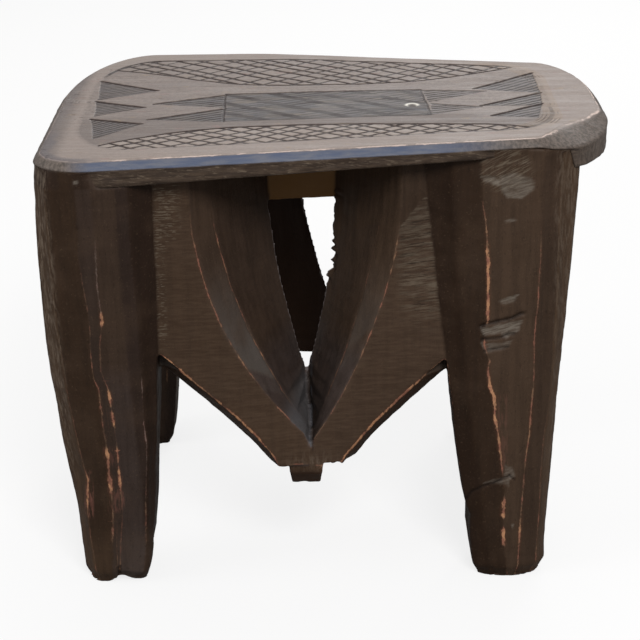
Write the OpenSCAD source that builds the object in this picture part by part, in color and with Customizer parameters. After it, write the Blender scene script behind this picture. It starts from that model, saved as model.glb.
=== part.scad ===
// Carved wooden stool: one block worked into a seat slab, four splayed legs and,
// between the legs of each long side, a pair of wings that flare from a hanging tip
// round a V-shaped mouth. Millimetres, +Z up, +X right, +Y to the back.
// The origin is on the floor under the middle of the seat's box.

/* [Seat] */
// Width of the seat from end to end
seat_w = 380; // [350:5:410]
// Depth of the seat from front to back
seat_d = 294; // [280:2:320]
// Height of the seat's top above the floor
seat_h = 314; // [296:2:334]
// Thickness of the slab in its middle
seat_t = 14.5; // [12:0.5:20]
// Slant of the front edge, in degrees
front_slant = 7.6; // [4:0.2:9]
// Slant of the right part of the back edge, in degrees
back_slant = 12; // [8:0.5:14]
// How far left of the middle the back edge starts to slant
back_break = 50; // [30:5:70]
// Width of the worn chamfer round the top
chamfer_w = 5; // [3:0.5:8]
// Height of that chamfer
chamfer_h = 6; // [4:0.5:8]
// Extra width of the chamfer on the worn front right corner
worn_w = 15; // [5:1:20]
// How much thinner the slab is at its right end than at its left end
slab_thinning = 8; // [0:0.5:10]
// How far the rim hangs below the slab's underside at the right end
end_lip = 13; // [0:0.5:15]
// Width of the slope behind that hanging rim
lip_w = 12; // [6:1:16]
// Length over which that rim drops beyond the right legs
lip_run = 5; // [3:1:12]
// Rounding of the rim's lower edge
rim_round = 1.5; // [0.5:0.5:3]

/* [Carved panel] */
// Depth of the carved lines and recesses in the top
carve_depth = 1.2; // [0.8:0.1:2]
// Width of the border groove
groove_w = 2.4; // [1.6:0.2:4]
// Plain margin outside the border groove at the front and the back
margin_long = 27; // [22:1:34]
// Plain margin at the left end
margin_left = 24; // [18:1:30]
// Plain margin at the right end
margin_right = 38; // [30:1:44]
// Length of the hatched middle
centre_l = 136; // [110:2:144]
// Length of the pointed triangles at both ends
triangle_l = 41; // [30:1:43]
// Gap between the hatched middle and its triangles
tooth_gap = 1.5; // [1:0.5:3]
// Width of the arcs along the hatched bands
arc_w = 1.6; // [1:0.2:2.4]

/* [Legs] */
// Width of the left front leg under the seat
left_leg_w = 76; // [66:1:84]
// Width of the right front leg under the seat
right_leg_w = 103; // [90:1:110]
// Depth of a left leg under the seat
left_leg_d = 72; // [60:1:80]
// Depth of a right leg under the seat
right_leg_d = 64; // [56:1:70]
// Width of a left foot
left_foot_w = 43; // [36:1:52]
// Width of a right foot
right_foot_w = 47; // [38:1:54]
// Depth of a foot
foot_d = 42; // [34:1:50]
// How far the left feet stand in from the seat's end
left_foot_in = 15; // [8:1:24]
// How far the right feet stand in from the seat's end
right_foot_in = 44; // [34:1:50]
// How far the right legs stand in from the seat's end, under the seat
right_top_in = 25; // [18:1:30]
// How far the front feet stand in from the seat's front
front_foot_in = 23; // [16:1:34]
// How far the rear feet stand in from the seat's back
rear_foot_in = 6; // [4:1:18]
// How far the legs' faces stand in under the seat's front and back edges
leg_in = 1; // [0.5:0.5:3]
// How much further right the rear feet stand than the front feet
rear_foot_shift = 3; // [0:1:6]
// How much further in the right rear foot stands than the left one
rear_right_foot_in = 10; // [4:1:14]
// How much narrower the right rear leg is than the right front leg
rear_leg_less = 20; // [10:1:30]
// How far the left rear leg is tucked in under the seat's round corner
rear_tuck = 13; // [8:1:18]
// Height over which a foot's end is rounded
toe_h = 8; // [4:1:14]
// How much a foot's end is drawn in by that rounding
toe_in = 3; // [1:0.5:5]

/* [Wings] */
// How far the wings' outer faces stand in from the seat's edge
wing_in = 14; // [10:1:20]
// How far the mouth's narrow waist stands in from the seat's front and back
waist_in = 97; // [88:1:104]
// Depth of the first bevel round the mouth
lip_d = 14; // [10:1:20]
// Height at which the front mouth closes, above the floor
mouth_low = 105; // [98:1:114]
// How much higher the mouth closes at the waist
mouth_rise = 26; // [16:1:34]
// Height of the wings' lower ends above the floor
tip_h = 86; // [80:1:92]
// How much higher the rear wings end and their mouth closes
rear_rise = 13; // [6:1:16]
// Height at which a left wing's lower edge meets its leg
left_knee = 174; // [155:1:184]
// Height at which a right wing's lower edge meets its leg
right_knee = 162; // [145:1:174]
// Height of the bevel under a wing's front face
under_bevel = 13; // [8:1:16]
// Distance of the front mouth's middle from the stool's middle, to the left
mouth_left = 14; // [8:1:20]
// Distance of the rear mouth's middle from the stool's middle, to the right
rear_mouth_right = 2; // [0:1:8]
// Width of the front mouth left of its middle, at the outer face
mouth_l = 77; // [70:1:84]
// Width of the front mouth right of its middle, at the outer face
mouth_r = 62; // [54:1:68]
// How much narrower the mouth's left side is behind its first bevel
lip_less_left = 12; // [8:1:16]
// How much narrower the mouth's right side is behind its first bevel
lip_less_right = 10; // [6:1:14]
// How much narrower the rear mouth is on each side
rear_mouth_less = 4; // [0:1:8]
// Width of the waist on each side of its middle
waist_half = 25; // [18:1:30]
// How much nearer the front waist's right side is
waist_right_less = 2; // [0:0.5:4]
// Distance of a wing's lower end from the mouth's middle
wing_tip_w = 19; // [15:1:24]
// How much further a left wing's lower end reaches
left_tip_more = 4; // [0:1:6]

/* [Hanging tip] */
// Width of the hanging tip
tip_w = 24; // [18:1:30]
// Depth of the hanging tip, front to back
tip_d = 34; // [24:1:44]
// Distance of the hanging tip's middle from the mouth's middle, to the left
tip_shift = 5; // [0:1:6]
// Height of the hanging tip's lowest edge above the floor
tip_low = 68.5; // [64:0.5:76]

/* [Core] */
// Height of the core block left under the slab
core_h = 42; // [30:1:48]
// How far the core's left end reaches past the left legs' inner sides
core_left_more = 4; // [2:1:10]
// Distance of the core's right end from the front right leg
core_right_gap = 2; // [0.5:0.5:10]
// Clearance of the core from the wings beside it
core_gap = 0.4; // [0.2:0.1:0.8]

/* [Hidden] */
under_z = seat_h - seat_t;
waist_y = seat_d / 2 - waist_in;
wood_dark = [0.18, 0.14, 0.12];
wood_top = [0.42, 0.38, 0.36];
wood_inner = [0.13, 0.10, 0.09];

function mix(a, b, t) = a + (b - a) * t;
function held(t) = min(1, max(0, t));
function ramp(t) = let (c = held(t)) c * c * (3 - 2 * c);
function ease(t, power) = 1 - pow(1 - held(t), power);

// The slab's underside is one plane that rises a little to the right.
function under(x) = under_z + slab_thinning * x / seat_w;
function at_height(ring, z) = [for (p = ring) [p[0], p[1], z]];
function on_underside(ring) = [for (p = ring) [p[0], p[1], under(p[0])]];

// A solid through rings of equal counts, the lowest ring first. Each side face is
// split along the diagonal that leans with the ring's order, or against it, and each
// end is a fan from the ring's first corner.
module loft(rings, against = false) {
    n = len(rings[0]);
    m = len(rings);
    points = [for (ring = rings) for (p = ring) p];
    sides = [
        for (j = [0 : m - 2]) for (i = [0 : n - 1])
        let (a = j * n + i, b = j * n + (i + 1) % n)
        each (against ? [[a, a + n, b], [b, a + n, b + n]] : [[a, a + n, b + n], [a, b + n, b]])
    ];
    top = (m - 1) * n;
    low = [for (i = [1 : n - 2]) [0, i, i + 1]];
    high = [for (i = [1 : n - 2]) [top, top + i + 1, top + i]];
    polyhedron(points, concat(low, high, sides));
}

// Outline of the seat, counter-clockwise: each edge is the angle of its outward
// normal and its distance from the middle, and each corner is a part of an ellipse.
function reach(corner, a) = norm([corner[0] * cos(a), corner[1] * sin(a)]);
function corner_mid(e, f, corner) =
    let (m = e[1] - reach(corner, e[0]), n = f[1] - reach(corner, f[0]))
    let (det = sin(f[0] - e[0]))
    [(m * sin(f[0]) - n * sin(e[0])) / det, (n * cos(e[0]) - m * cos(f[0])) / det];
function corner_point(mid, corner, a, inset) =
    let (r = reach(corner, a))
    [mid[0] + (corner[0] * corner[0] / r - inset) * cos(a),
     mid[1] + (corner[1] * corner[1] / r - inset) * sin(a)];

front_corner = [35, 30];
front_angle = 270 + front_slant;
front_side = (front_corner[0] - seat_w / 2) * cos(front_angle)
    + (front_corner[1] - seat_d / 2) * sin(front_angle) + reach(front_corner, front_angle);
back_side = -back_break * sin(back_slant) + seat_d / 2 * cos(back_slant);
seat_edges = [
    [0, seat_w / 2],
    [90 - back_slant, back_side],
    [90, seat_d / 2],
    [180, seat_w / 2],
    [front_angle, front_side],
    [360, seat_w / 2]
];
seat_corners = [[37, 94], [190, 190], [60, 140], front_corner, [62, 76]];
corner_step = 4;
seat_normals = [
    for (k = [0 : 4])
    let (e = seat_edges[k], f = seat_edges[k + 1])
    let (steps = max(2, round((f[0] - e[0]) / corner_step)))
    for (i = [0 : steps]) [k, mix(e[0], f[0], i / steps)]
];
// Only the last corner, the front right one, is worn: most where its normal points at
// the worn angle.
worn_angle = 318;
function wear(p) = p[0] == 4 ? exp(-pow((p[1] - worn_angle) / 30, 2)) : 0;
function seat_ring(inset, worn_inset) = [
    for (p = seat_normals)
    let (corner = seat_corners[p[0]])
    let (mid = corner_mid(seat_edges[p[0]], seat_edges[p[0] + 1], corner))
    corner_point(mid, corner, p[1], inset + worn_inset * wear(p))
];
function lip(x) = end_lip * ramp((x - seat_w / 2 + right_top_in) / lip_run);

module seat_blank() {
    edge = seat_ring(0, 0);
    loft([
        on_underside(seat_ring(lip_w, 0)),
        [for (p = seat_ring(rim_round, 0)) [p[0], p[1], under(p[0]) - lip(p[0])]],
        [for (p = edge) [p[0], p[1], under(p[0]) - lip(p[0]) + rim_round]],
        [for (i = [0 : len(edge) - 1])
            [edge[i][0], edge[i][1], seat_h - chamfer_h * (1 + 0.7 * wear(seat_normals[i]))]],
        at_height(seat_ring(chamfer_w, worn_w), seat_h)
    ]);
}

// Border of the carved panel, with its own margins and round corners.
panel_corners = [[26, 56], [140, 140], [42, 74], [17, 18], [36, 43]];
function panel_ring(inset) =
    let (grow = margin_long + inset)
    let (edges = [
        [0, seat_w / 2 - margin_right - inset],
        [90 - back_slant, back_side + 6 - grow],
        [90, seat_d / 2 - grow],
        [180, seat_w / 2 - margin_left - inset],
        [front_angle, front_side - grow],
        [360, seat_w / 2 - margin_right - inset]])
    [for (k = [0 : 4])
        let (mid = corner_mid(edges[k], edges[k + 1], panel_corners[k]))
        for (i = [0 : 6])
        corner_point(mid, panel_corners[k], mix(edges[k][0], edges[k + 1][0], i / 6), 0)];

// Recesses of the panel: the border, the arcs along the hatched bands, the hatched
// middle, and triangles that point from the border and from the middle into each
// other's gaps. A triangle is the low and the high end of its base, and its point's y.
end_gap = 4;
left_teeth = [[7, 55, 28], [-38, 0, -17], [-89, -46, -59]];
right_teeth = [[30, 74, 35], [-4, 26, -2], [-40, -8, -37]];
left_middle_teeth = [[-22, 20, -2], [-52, -24, -47]];
right_middle_teeth = [[-3, 30, 27], [-38, -6, -11]];
middle_ends = [[-53, 27], [-40, 32]];
// An arc is its centre, its radius and the angles between which it runs.
rear_arc = [-8, 297, 251, 225, 315];
front_arc = [54, -467, 410, 71, 124];
arc_steps = 16;
middle_x = -3;
module tooth(base_x, length, row) {
    polygon([[base_x, row[0]], [base_x, row[1]], [base_x + length, row[2]]]);
}
function arc_point(arc, r, i) =
    let (a = mix(arc[3], arc[4], i / arc_steps)) [arc[0] + r * cos(a), arc[1] + r * sin(a)];
module arc_line(arc) {
    polygon(concat(
        [for (i = [0 : arc_steps]) arc_point(arc, arc[2] + arc_w / 2, i)],
        [for (i = [arc_steps : -1 : 0]) arc_point(arc, arc[2] - arc_w / 2, i)]));
}
module carving() {
    left_x = -seat_w / 2 + margin_left + end_gap;
    right_x = seat_w / 2 - margin_right - end_gap;
    x0 = middle_x - centre_l / 2;
    x1 = middle_x + centre_l / 2;
    difference() {
        polygon(panel_ring(0));
        polygon(panel_ring(groove_w));
    }
    intersection() {
        polygon(panel_ring(groove_w / 2));
        union() {
            arc_line(rear_arc);
            arc_line(front_arc);
            for (row = left_teeth) tooth(left_x, triangle_l, row);
            for (row = right_teeth) tooth(right_x, -triangle_l, row);
        }
    }
    polygon([[x0, middle_ends[0][0]], [x1, middle_ends[1][0]],
        [x1, middle_ends[1][1]], [x0, middle_ends[0][1]]]);
    for (row = left_middle_teeth) tooth(x0 - tooth_gap, -triangle_l, row);
    for (row = right_middle_teeth) tooth(x1 + tooth_gap, triangle_l, row);
}

module seat() {
    color(wood_top)
    difference() {
        seat_blank();
        translate([0, 0, seat_h - carve_depth]) linear_extrude(carve_depth + 1) carving();
    }
}

// Adzed sections of the legs in a unit square, counter-clockwise from the front left.
// The long side that faces the stool's middle is the flat that a wing seats on.
left_section = [
    [0, 0.28], [0.13, 0.07], [0.44, 0], [0.55, 0], [0.82, 0.05],
    [1, 0.22], [1, 0.96], [0.84, 1], [0.25, 1], [0, 0.8]
];
right_section = [
    [0, 0.14], [0.2, 0.03], [0.38, 0], [0.7, 0.03], [0.9, 0.15],
    [1, 0.36], [1, 0.78], [0.76, 1], [0.16, 1], [0, 0.96]
];
rear_left_section = [
    [0, 0.06], [0.15, 0], [0.84, 0], [1, 0.04], [1, 0.78],
    [0.85, 0.95], [0.62, 1], [0.38, 0.87], [0.14, 0.6], [0, 0.35]
];
function turned(section) = [
    for (i = [len(section) - 1 : -1 : 0]) [section[i][0], 1 - section[i][1]]
];

// Heights that a leg shares with its wing, so that their faces meet.
wing_steps = 6;
function wing_heights(knee) = concat(
    [knee - under_bevel],
    [for (i = [0 : wing_steps - 1]) mix(knee, under_z, i / wing_steps)],
    [under_z]
);
function leg_heights(knee) = concat([0, toe_h, 0.3 * knee, 0.62 * knee], wing_heights(knee));

// A leg is its section, its foot and its top, each [left, right, front, back], two
// pairs of powers that say how its left and right sides leave the foot and reach the
// top, and the height of its knee, where the wing's lower edge meets it.
function leg_side(leg, k, z) =
    let (t = z / under_z, power = leg[3][k])
    mix(leg[1][k], leg[2][k], k < 2 ? ease(pow(t, power[0]), power[1]) : t);
function leg_depth(leg, v, z) = mix(leg_side(leg, 2, z), leg_side(leg, 3, z), v);
function leg_ring(leg, z, draw) = [
    for (s = leg[0])
    [mix(leg_side(leg, 0, z) + draw, leg_side(leg, 1, z) - draw, s[0]),
     mix(leg_side(leg, 2, z) + draw, leg_side(leg, 3, z) - draw, s[1]), z]
];
module leg(leg) {
    color(wood_dark)
    loft([
        for (z = leg_heights(leg[4]))
        let (ring = leg_ring(leg, z, toe_in * held(1 - z / toe_h)))
        z == under_z ? on_underside(ring) : ring
    ]);
}

front_foot_y = -seat_d / 2 + front_foot_in;
rear_foot_y = seat_d / 2 - rear_foot_in;
left_front_y = -seat_d / 2 + leg_in;
left_foot_x = -seat_w / 2 + left_foot_in;
rear_foot_x = left_foot_x + rear_foot_shift;
right_foot_x = seat_w / 2 - right_foot_in;
left_top_x = -seat_w / 2;
right_top_x = seat_w / 2 - right_top_in;
rear_right_top_x = right_top_x - rear_leg_less / 2;
rear_right_leg_w = right_leg_w - rear_leg_less;
// The right legs stand flush with the slanting edges of the seat.
right_front_y = front_line(right_top_x - right_leg_w / 2, leg_in);
right_back_y = back_line(rear_right_top_x - rear_right_leg_w / 2, leg_in);

front_left_leg = [
    left_section,
    [left_foot_x, left_foot_x + left_foot_w, front_foot_y, front_foot_y + foot_d],
    [left_top_x, left_top_x + left_leg_w, left_front_y, left_front_y + left_leg_d],
    [[1.7, 4.5], [1, 2.5]],
    left_knee
];
front_right_leg = [
    right_section,
    [right_foot_x - right_foot_w, right_foot_x, front_foot_y, front_foot_y + foot_d],
    [right_top_x - right_leg_w, right_top_x, right_front_y, right_front_y + right_leg_d],
    [[1, 1.15], [1, 1]],
    right_knee
];
rear_left_leg = [
    rear_left_section,
    [rear_foot_x, rear_foot_x + left_foot_w, rear_foot_y - foot_d, rear_foot_y],
    [left_top_x + rear_tuck, left_top_x + left_leg_w,
        -left_front_y - left_leg_d, seat_d / 2 - rear_tuck / 2],
    [[1.4, 3], [1, 2.5]],
    left_knee
];
rear_right_leg = [
    turned(right_section),
    [right_foot_x + rear_foot_shift - right_foot_w, right_foot_x + rear_foot_shift,
        rear_foot_y - rear_right_foot_in - foot_d, rear_foot_y - rear_right_foot_in],
    [rear_right_top_x - rear_right_leg_w, rear_right_top_x,
        right_back_y - right_leg_d, right_back_y],
    [[1, 1.15], [1, 1]],
    right_knee
];
module leg_front_left() leg(front_left_leg);
module leg_front_right() leg(front_right_leg);
module leg_rear_left() leg(rear_left_leg);
module leg_rear_right() leg(rear_right_leg);

// Edges of the seat in plan, moved in by an inset, which the wings' faces follow.
back_face_slant = 7.2;
back_face_drop = 14;
function front_line(x, inset) = -(front_side - inset - x * sin(front_slant)) / cos(front_slant);
function back_line(x, inset) = (back_side - inset - x * sin(back_slant)) / cos(back_slant);
function outer_y(x, rear) = rear < 0 ? front_line(x, wing_in)
    : seat_d / 2 - back_face_drop - wing_in - x * tan(back_face_slant);

// A mouth is its side, -1 left or 1 right, its middle at the outer face and at the
// waist, its widths at its three edges under the slab, and their curves' powers.
function mouth_x(mouth, k, z, low) =
    mouth[k == 2 ? 2 : 1] + mouth[0] * mouth[3][k] * ease((z - low) / (under_z - low), mouth[4][k]);

// A wing from its lower end up to the slab, between its mouth and its leg.
// grip is the part of the leg's flat side that it covers, from its outer face in,
// and droop bends its lower edge.
module wing(mouth, rear, leg, grip, droop) {
    side = mouth[0];
    ordinary = side * rear > 0;
    inner = side < 0 ? 1 : 0;
    knee = leg[4];
    lift = rear > 0 ? rear_rise : 0;
    end_z = tip_h + lift;
    low_z = mouth_low + lift;
    tip_x = mouth[1] + side * wing_tip_w - (side < 0 ? left_tip_more : 0);
    low_heights = [for (t = [0 : 0.16 : 0.9]) mix(end_z, knee - under_bevel, t)];
    color(wood_dark)
    loft([
        for (z = concat(low_heights, wing_heights(knee)))
        let (front_t = held((z - end_z) / (knee - end_z)))
        let (back_t = held((z - end_z + under_bevel) / (knee - end_z)))
        let (x_leg = leg_side(leg, inner, z))
        let (x_front = z < knee ? mix(tip_x, leg_side(leg, inner, knee), pow(front_t, droop)) : x_leg)
        let (x_back = z < knee - under_bevel
            ? mix(tip_x, leg_side(leg, inner, knee - under_bevel), pow(back_t, droop)) : x_leg)
        let (y_front = mix(outer_y(x_front, rear), leg_depth(leg, grip[0], z), front_t))
        let (y_back = mix(rear * waist_y, leg_depth(leg, grip[1], z), back_t))
        let (x1 = mouth_x(mouth, 0, z, low_z), y1 = outer_y(x1, rear))
        let (ring = [
            [x_front, y_front, z],
            [x1, y1, z],
            [mouth_x(mouth, 1, z, low_z), y1 - rear * lip_d, z],
            [mouth_x(mouth, 2, z, low_z + mouth_rise), rear * waist_y, z],
            [x_back, y_back, z],
            [x_back, y_front - rear * under_bevel, z]])
        let (ordered = [for (i = ordinary ? [5, 0, 1, 2, 3, 4] : [5, 4, 3, 2, 1, 0]) ring[i]])
        z == under_z ? on_underside(ordered) : ordered
    ], ordinary);
}

front_mid = [-mouth_left, -mouth_left - 4];
rear_mid = [rear_mouth_right, rear_mouth_right + 3];
rear_l = mouth_l - rear_mouth_less;
rear_r = mouth_r - rear_mouth_less;
module wing_front_left() wing(
    [-1, front_mid[0], front_mid[1], [mouth_l, mouth_l - lip_less_left, waist_half], [2.4, 1.9, 2]],
    -1, front_left_leg, [0.24, 0.94], 1.25);
module wing_front_right() wing(
    [1, front_mid[0], front_mid[1],
        [mouth_r, mouth_r - lip_less_right, waist_half - waist_right_less], [2.1, 1.6, 2]],
    -1, front_right_leg, [0.16, 0.94], 1.15);
module wing_rear_left() wing(
    [-1, rear_mid[0], rear_mid[1], [rear_l, rear_l - lip_less_left, waist_half], [2.2, 1.9, 2]],
    1, rear_left_leg, [0.76, 0.06], 1.3);
module wing_rear_right() wing(
    [1, rear_mid[0], rear_mid[1], [rear_r, rear_r - lip_less_right, waist_half], [2.2, 1.8, 2]],
    1, rear_right_leg, [0.84, 0.06], 1.2);

// The tip that hangs under the lower ends of two wings, with its outer face sloped.
tip_slope = 8;
module pendant(mid, rear) {
    lift = rear > 0 ? rear_rise : 0;
    y_out = outer_y(mid, rear);
    x = mid - tip_shift;
    color(wood_dark)
    loft([
        for (row = [[0, 0.85, tip_slope], [0.65, 0.97, 0], [1, 1, 0]])
        let (w = tip_w / 2 * row[1], out = y_out - rear * row[2], back = y_out - rear * tip_d)
        let (y0 = min(out, back), y1 = max(out, back))
        at_height([[x - w, y0], [x + w, y0], [x + w, y1], [x - w, y1]],
            mix(tip_low, tip_h, row[0]) + lift)
    ]);
}
module pendant_front() pendant(front_mid[0], -1);
module pendant_rear() pendant(rear_mid[0], 1);

// The block left under the slab between the front and the rear wings. Its lower face
// slopes as the slab's underside does.
module core_block() {
    left_y = leg_depth(rear_left_leg, 0.06, under_z);
    left_end = mix(waist_y, left_y, 0.9);
    y_in = waist_y - core_gap;
    x0 = left_top_x + left_leg_w - core_left_more;
    x1 = right_top_x - right_leg_w - core_right_gap;
    plan = [
        [x0, -left_end], [front_mid[1] - waist_half, -y_in], [x1, -y_in],
        [x1, y_in], [rear_mid[1] - waist_half, y_in], [x0, left_end]
    ];
    color(wood_inner)
    multmatrix([[1, 0, 0, 0], [0, 1, 0, 0], [slab_thinning / seat_w, 0, 1, under_z - core_h]])
    linear_extrude(core_h) polygon(plan);
}

seat();
leg_front_left();
leg_front_right();
leg_rear_left();
leg_rear_right();
wing_front_left();
wing_front_right();
wing_rear_left();
wing_rear_right();
pendant_front();
pendant_rear();
core_block();
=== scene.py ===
"""Looks of the carved stool: a finely carved seat piece and a body piece made from the
legs, wings, hanging tips and core. Lengths are millimetres until a mesh is written."""

import math

import bpy
import numpy as np
from mathutils import Matrix, Vector
from mathutils.bvhtree import BVHTree
from mathutils.kdtree import KDTree


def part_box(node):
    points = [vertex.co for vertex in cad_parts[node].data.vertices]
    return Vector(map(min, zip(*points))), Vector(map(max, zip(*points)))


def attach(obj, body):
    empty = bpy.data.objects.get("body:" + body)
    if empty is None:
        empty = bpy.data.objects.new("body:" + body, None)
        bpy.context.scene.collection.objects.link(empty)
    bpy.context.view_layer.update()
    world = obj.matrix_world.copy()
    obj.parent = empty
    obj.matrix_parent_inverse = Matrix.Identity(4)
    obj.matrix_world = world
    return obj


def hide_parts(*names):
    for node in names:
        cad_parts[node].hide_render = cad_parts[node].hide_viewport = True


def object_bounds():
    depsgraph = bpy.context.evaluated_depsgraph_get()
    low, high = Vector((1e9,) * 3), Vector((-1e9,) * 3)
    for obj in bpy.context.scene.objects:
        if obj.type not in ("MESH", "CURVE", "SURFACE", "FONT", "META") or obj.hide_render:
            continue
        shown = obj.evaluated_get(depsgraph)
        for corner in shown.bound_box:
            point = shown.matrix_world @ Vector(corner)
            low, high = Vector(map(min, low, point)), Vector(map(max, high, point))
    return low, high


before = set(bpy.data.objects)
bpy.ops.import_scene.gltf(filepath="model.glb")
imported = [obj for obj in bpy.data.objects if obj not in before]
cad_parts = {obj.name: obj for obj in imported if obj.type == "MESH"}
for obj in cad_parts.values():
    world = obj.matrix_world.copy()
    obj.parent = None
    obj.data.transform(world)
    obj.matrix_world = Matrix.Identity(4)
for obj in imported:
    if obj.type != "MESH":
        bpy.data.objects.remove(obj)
cad_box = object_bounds()

MM = 0.001
LEGS = ["leg_front_left", "leg_front_right", "leg_rear_left", "leg_rear_right"]
WINGS = ["wing_front_left", "wing_front_right", "wing_rear_left", "wing_rear_right"]
TIPS = ["pendant_front", "pendant_rear"]
BODY = LEGS + WINGS + TIPS + ["core_block"]

# Sizes of the seat, as in the CAD model.
seat_low, seat_high = (np.array(c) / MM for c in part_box("seat"))
HALF_WIDTH, HALF_DEPTH, TOP = seat_high
CHAMFER_W, CHAMFER_H = 5.0, 6.0
WORN_W, WORN_DROP, WORN_ANGLE, WORN_SPREAD = 15.0, 0.7, 318.0, 30
LIP_W, END_LIP, LIP_START, LIP_RUN = 12.0, 13.0, 158.0, 5.0
RIM_ROUND = 1.5
UNDER_Z, UNDER_SLOPE = 299.5, 8 / 380
FRONT_SLANT, BACK_SLANT, BACK_BREAK = 7.6, 12.0, 50.0
SEAT_CORNERS = [(37, 94), (190, 190), (60, 140), (35, 30), (62, 76)]
WORN_CORNER = 4


def ramp(t):
    t = np.clip(t, 0, 1)
    return t * t * (3 - 2 * t)


def fade(x, full, none):
    """1 where x is at or past full, 0 at or past none, smooth between."""
    return ramp((x - none) / (full - none))


def bell(x, middle, half):
    """A smooth bump round a middle value."""
    return np.exp(-(((x - middle) / half) ** 2))


def hashed(i, j, k, seed):
    n = i * 374761393 + j * 668265263 + k * 1442695041 + seed * 974634777
    n = (n ^ (n >> 13)) * 1274126177
    n = n ^ (n >> 16)
    return (n & 0xFFFFFF) / float(0xFFFFFF)


def noise(p, size, seed):
    """Smooth value noise from -1 to 1 at points p, with cells of a size or one for each axis."""
    q = p / np.asarray(size, float)
    base = np.floor(q).astype(np.int64)
    f = q - base
    f = f * f * (3 - 2 * f)
    total = np.zeros(len(p))
    for di in (0, 1):
        wx = f[:, 0] if di else 1 - f[:, 0]
        for dj in (0, 1):
            wy = f[:, 1] if dj else 1 - f[:, 1]
            for dk in (0, 1):
                wz = f[:, 2] if dk else 1 - f[:, 2]
                total += wx * wy * wz * hashed(base[:, 0] + di, base[:, 1] + dj, base[:, 2] + dk, seed)
    return 2 * total - 1


def noise_up(p, size, seed):
    """The same noise from 0 to 1."""
    return 0.5 + 0.5 * noise(p, size, seed)


def add_object(name, data):
    obj = bpy.data.objects.new(name, data)
    bpy.context.scene.collection.objects.link(obj)
    return obj


def new_mesh(name, points, faces, smooth=True):
    mesh = bpy.data.meshes.new(name)
    mesh.from_pydata((np.asarray(points) * MM).tolist(), [], faces)
    mesh.validate()
    if smooth:
        mesh.shade_smooth()
    return add_object(name, mesh)


def store(mesh, **values):
    """Keeps values of the points as attributes that the materials read."""
    for key, value in values.items():
        layer = mesh.attributes.new(key, "FLOAT", "POINT")
        layer.data.foreach_set("value", np.asarray(value, np.float32))


def vertex_rows(mesh, key):
    rows = np.empty(len(mesh.vertices) * 3)
    mesh.vertices.foreach_get(key, rows)
    return rows.reshape(-1, 3)


def points_of(mesh):
    return vertex_rows(mesh, "co") / MM


def node_triangles(name):
    """Welded points and triangles of a CAD node."""
    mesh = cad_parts[name].data
    points = points_of(mesh)
    mesh.calc_loop_triangles()
    tris = np.empty(len(mesh.loop_triangles) * 3, np.int64)
    mesh.loop_triangles.foreach_get("vertices", tris)
    tris = tris.reshape(-1, 3)
    _, first, same = np.unique(np.round(points, 2), axis=0, return_index=True, return_inverse=True)
    tris = same.reshape(-1)[tris]
    keep = (tris[:, 0] != tris[:, 1]) & (tris[:, 1] != tris[:, 2]) & (tris[:, 0] != tris[:, 2])
    return points[first], tris[keep]


def unit(rows):
    return rows / np.linalg.norm(rows, axis=1)[:, None]


def face_normals(points, tris):
    c = points[tris]
    return unit(np.cross(c[:, 1] - c[:, 0], c[:, 2] - c[:, 0]))


def under(x):
    """The height of the slab's sloping underside."""
    return UNDER_Z + UNDER_SLOPE * x


# The seat's outline: points, outward normals, and how worn the front right corner is.


def reach(corner, a):
    return math.hypot(corner[0] * math.cos(a), corner[1] * math.sin(a))


def corner_mid(e, f, corner):
    """The middle of the ellipse that touches two edges."""
    m, n = e[1] - reach(corner, e[0]), f[1] - reach(corner, f[0])
    det = math.sin(f[0] - e[0])
    x = (m * math.sin(f[0]) - n * math.sin(e[0])) / det
    return x, (n * math.cos(e[0]) - m * math.cos(f[0])) / det


def outline(edges, corners, steps=40):
    """Points, normals and corner numbers of a ring of edges (angle, distance) and elliptic corners."""
    rows = []
    for k, corner in enumerate(corners):
        e, f = edges[k], edges[k + 1]
        cx, cy = corner_mid(e, f, corner)
        for i in range(steps + 1):
            a = e[0] + (f[0] - e[0]) * i / steps
            r = reach(corner, a)
            x = cx + corner[0] ** 2 / r * math.cos(a)
            y = cy + corner[1] ** 2 / r * math.sin(a)
            rows.append((x, y, math.cos(a), math.sin(a), k, math.degrees(a)))
    return np.array(rows)


def seat_edges(right=0.0, back=0.0, left=0.0, front=0.0, slant_out=0.0):
    """The seat's five edges and the first again, moved in by some mm on each side."""
    fa, slant = math.radians(270 + FRONT_SLANT), math.radians(BACK_SLANT)
    corner = SEAT_CORNERS[3]
    x, y = corner[0] - HALF_WIDTH, corner[1] - HALF_DEPTH
    front_at = x * math.cos(fa) + y * math.sin(fa) + reach(corner, fa)
    slant_at = -BACK_BREAK * math.sin(slant) + HALF_DEPTH * math.cos(slant)
    return [
        (0.0, HALF_WIDTH - right),
        (math.radians(90 - BACK_SLANT), slant_at + slant_out - back),
        (math.pi / 2, HALF_DEPTH - back),
        (math.pi, HALF_WIDTH - left),
        (fa, front_at - front),
        (2 * math.pi, HALF_WIDTH - right),
    ]


def densified(rows, step=0.5):
    """The closed ring with straight stretches filled in at an even step."""
    p = np.vstack([rows, rows[:1]])
    p[-1, 3:] = rows[0, 3:]
    filled = []
    for a, b in zip(p[:-1], p[1:]):
        n = max(1, int(math.hypot(*(b[:2] - a[:2])) / step))
        t = np.arange(n)[:, None] / n
        filled.append(a + (b - a) * t)
    return np.vstack(filled)


rim = outline(seat_edges(), SEAT_CORNERS)
on_worn = rim[:, 4] == WORN_CORNER
worn_angle = rim[on_worn, 5]
rim_wear = np.zeros(len(rim))
rim_wear[on_worn] = ramp((worn_angle - worn_angle[0]) / 12) * ramp((360 - worn_angle) / 14)
rim_wear[on_worn] *= bell(worn_angle, WORN_ANGLE, WORN_SPREAD)

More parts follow.
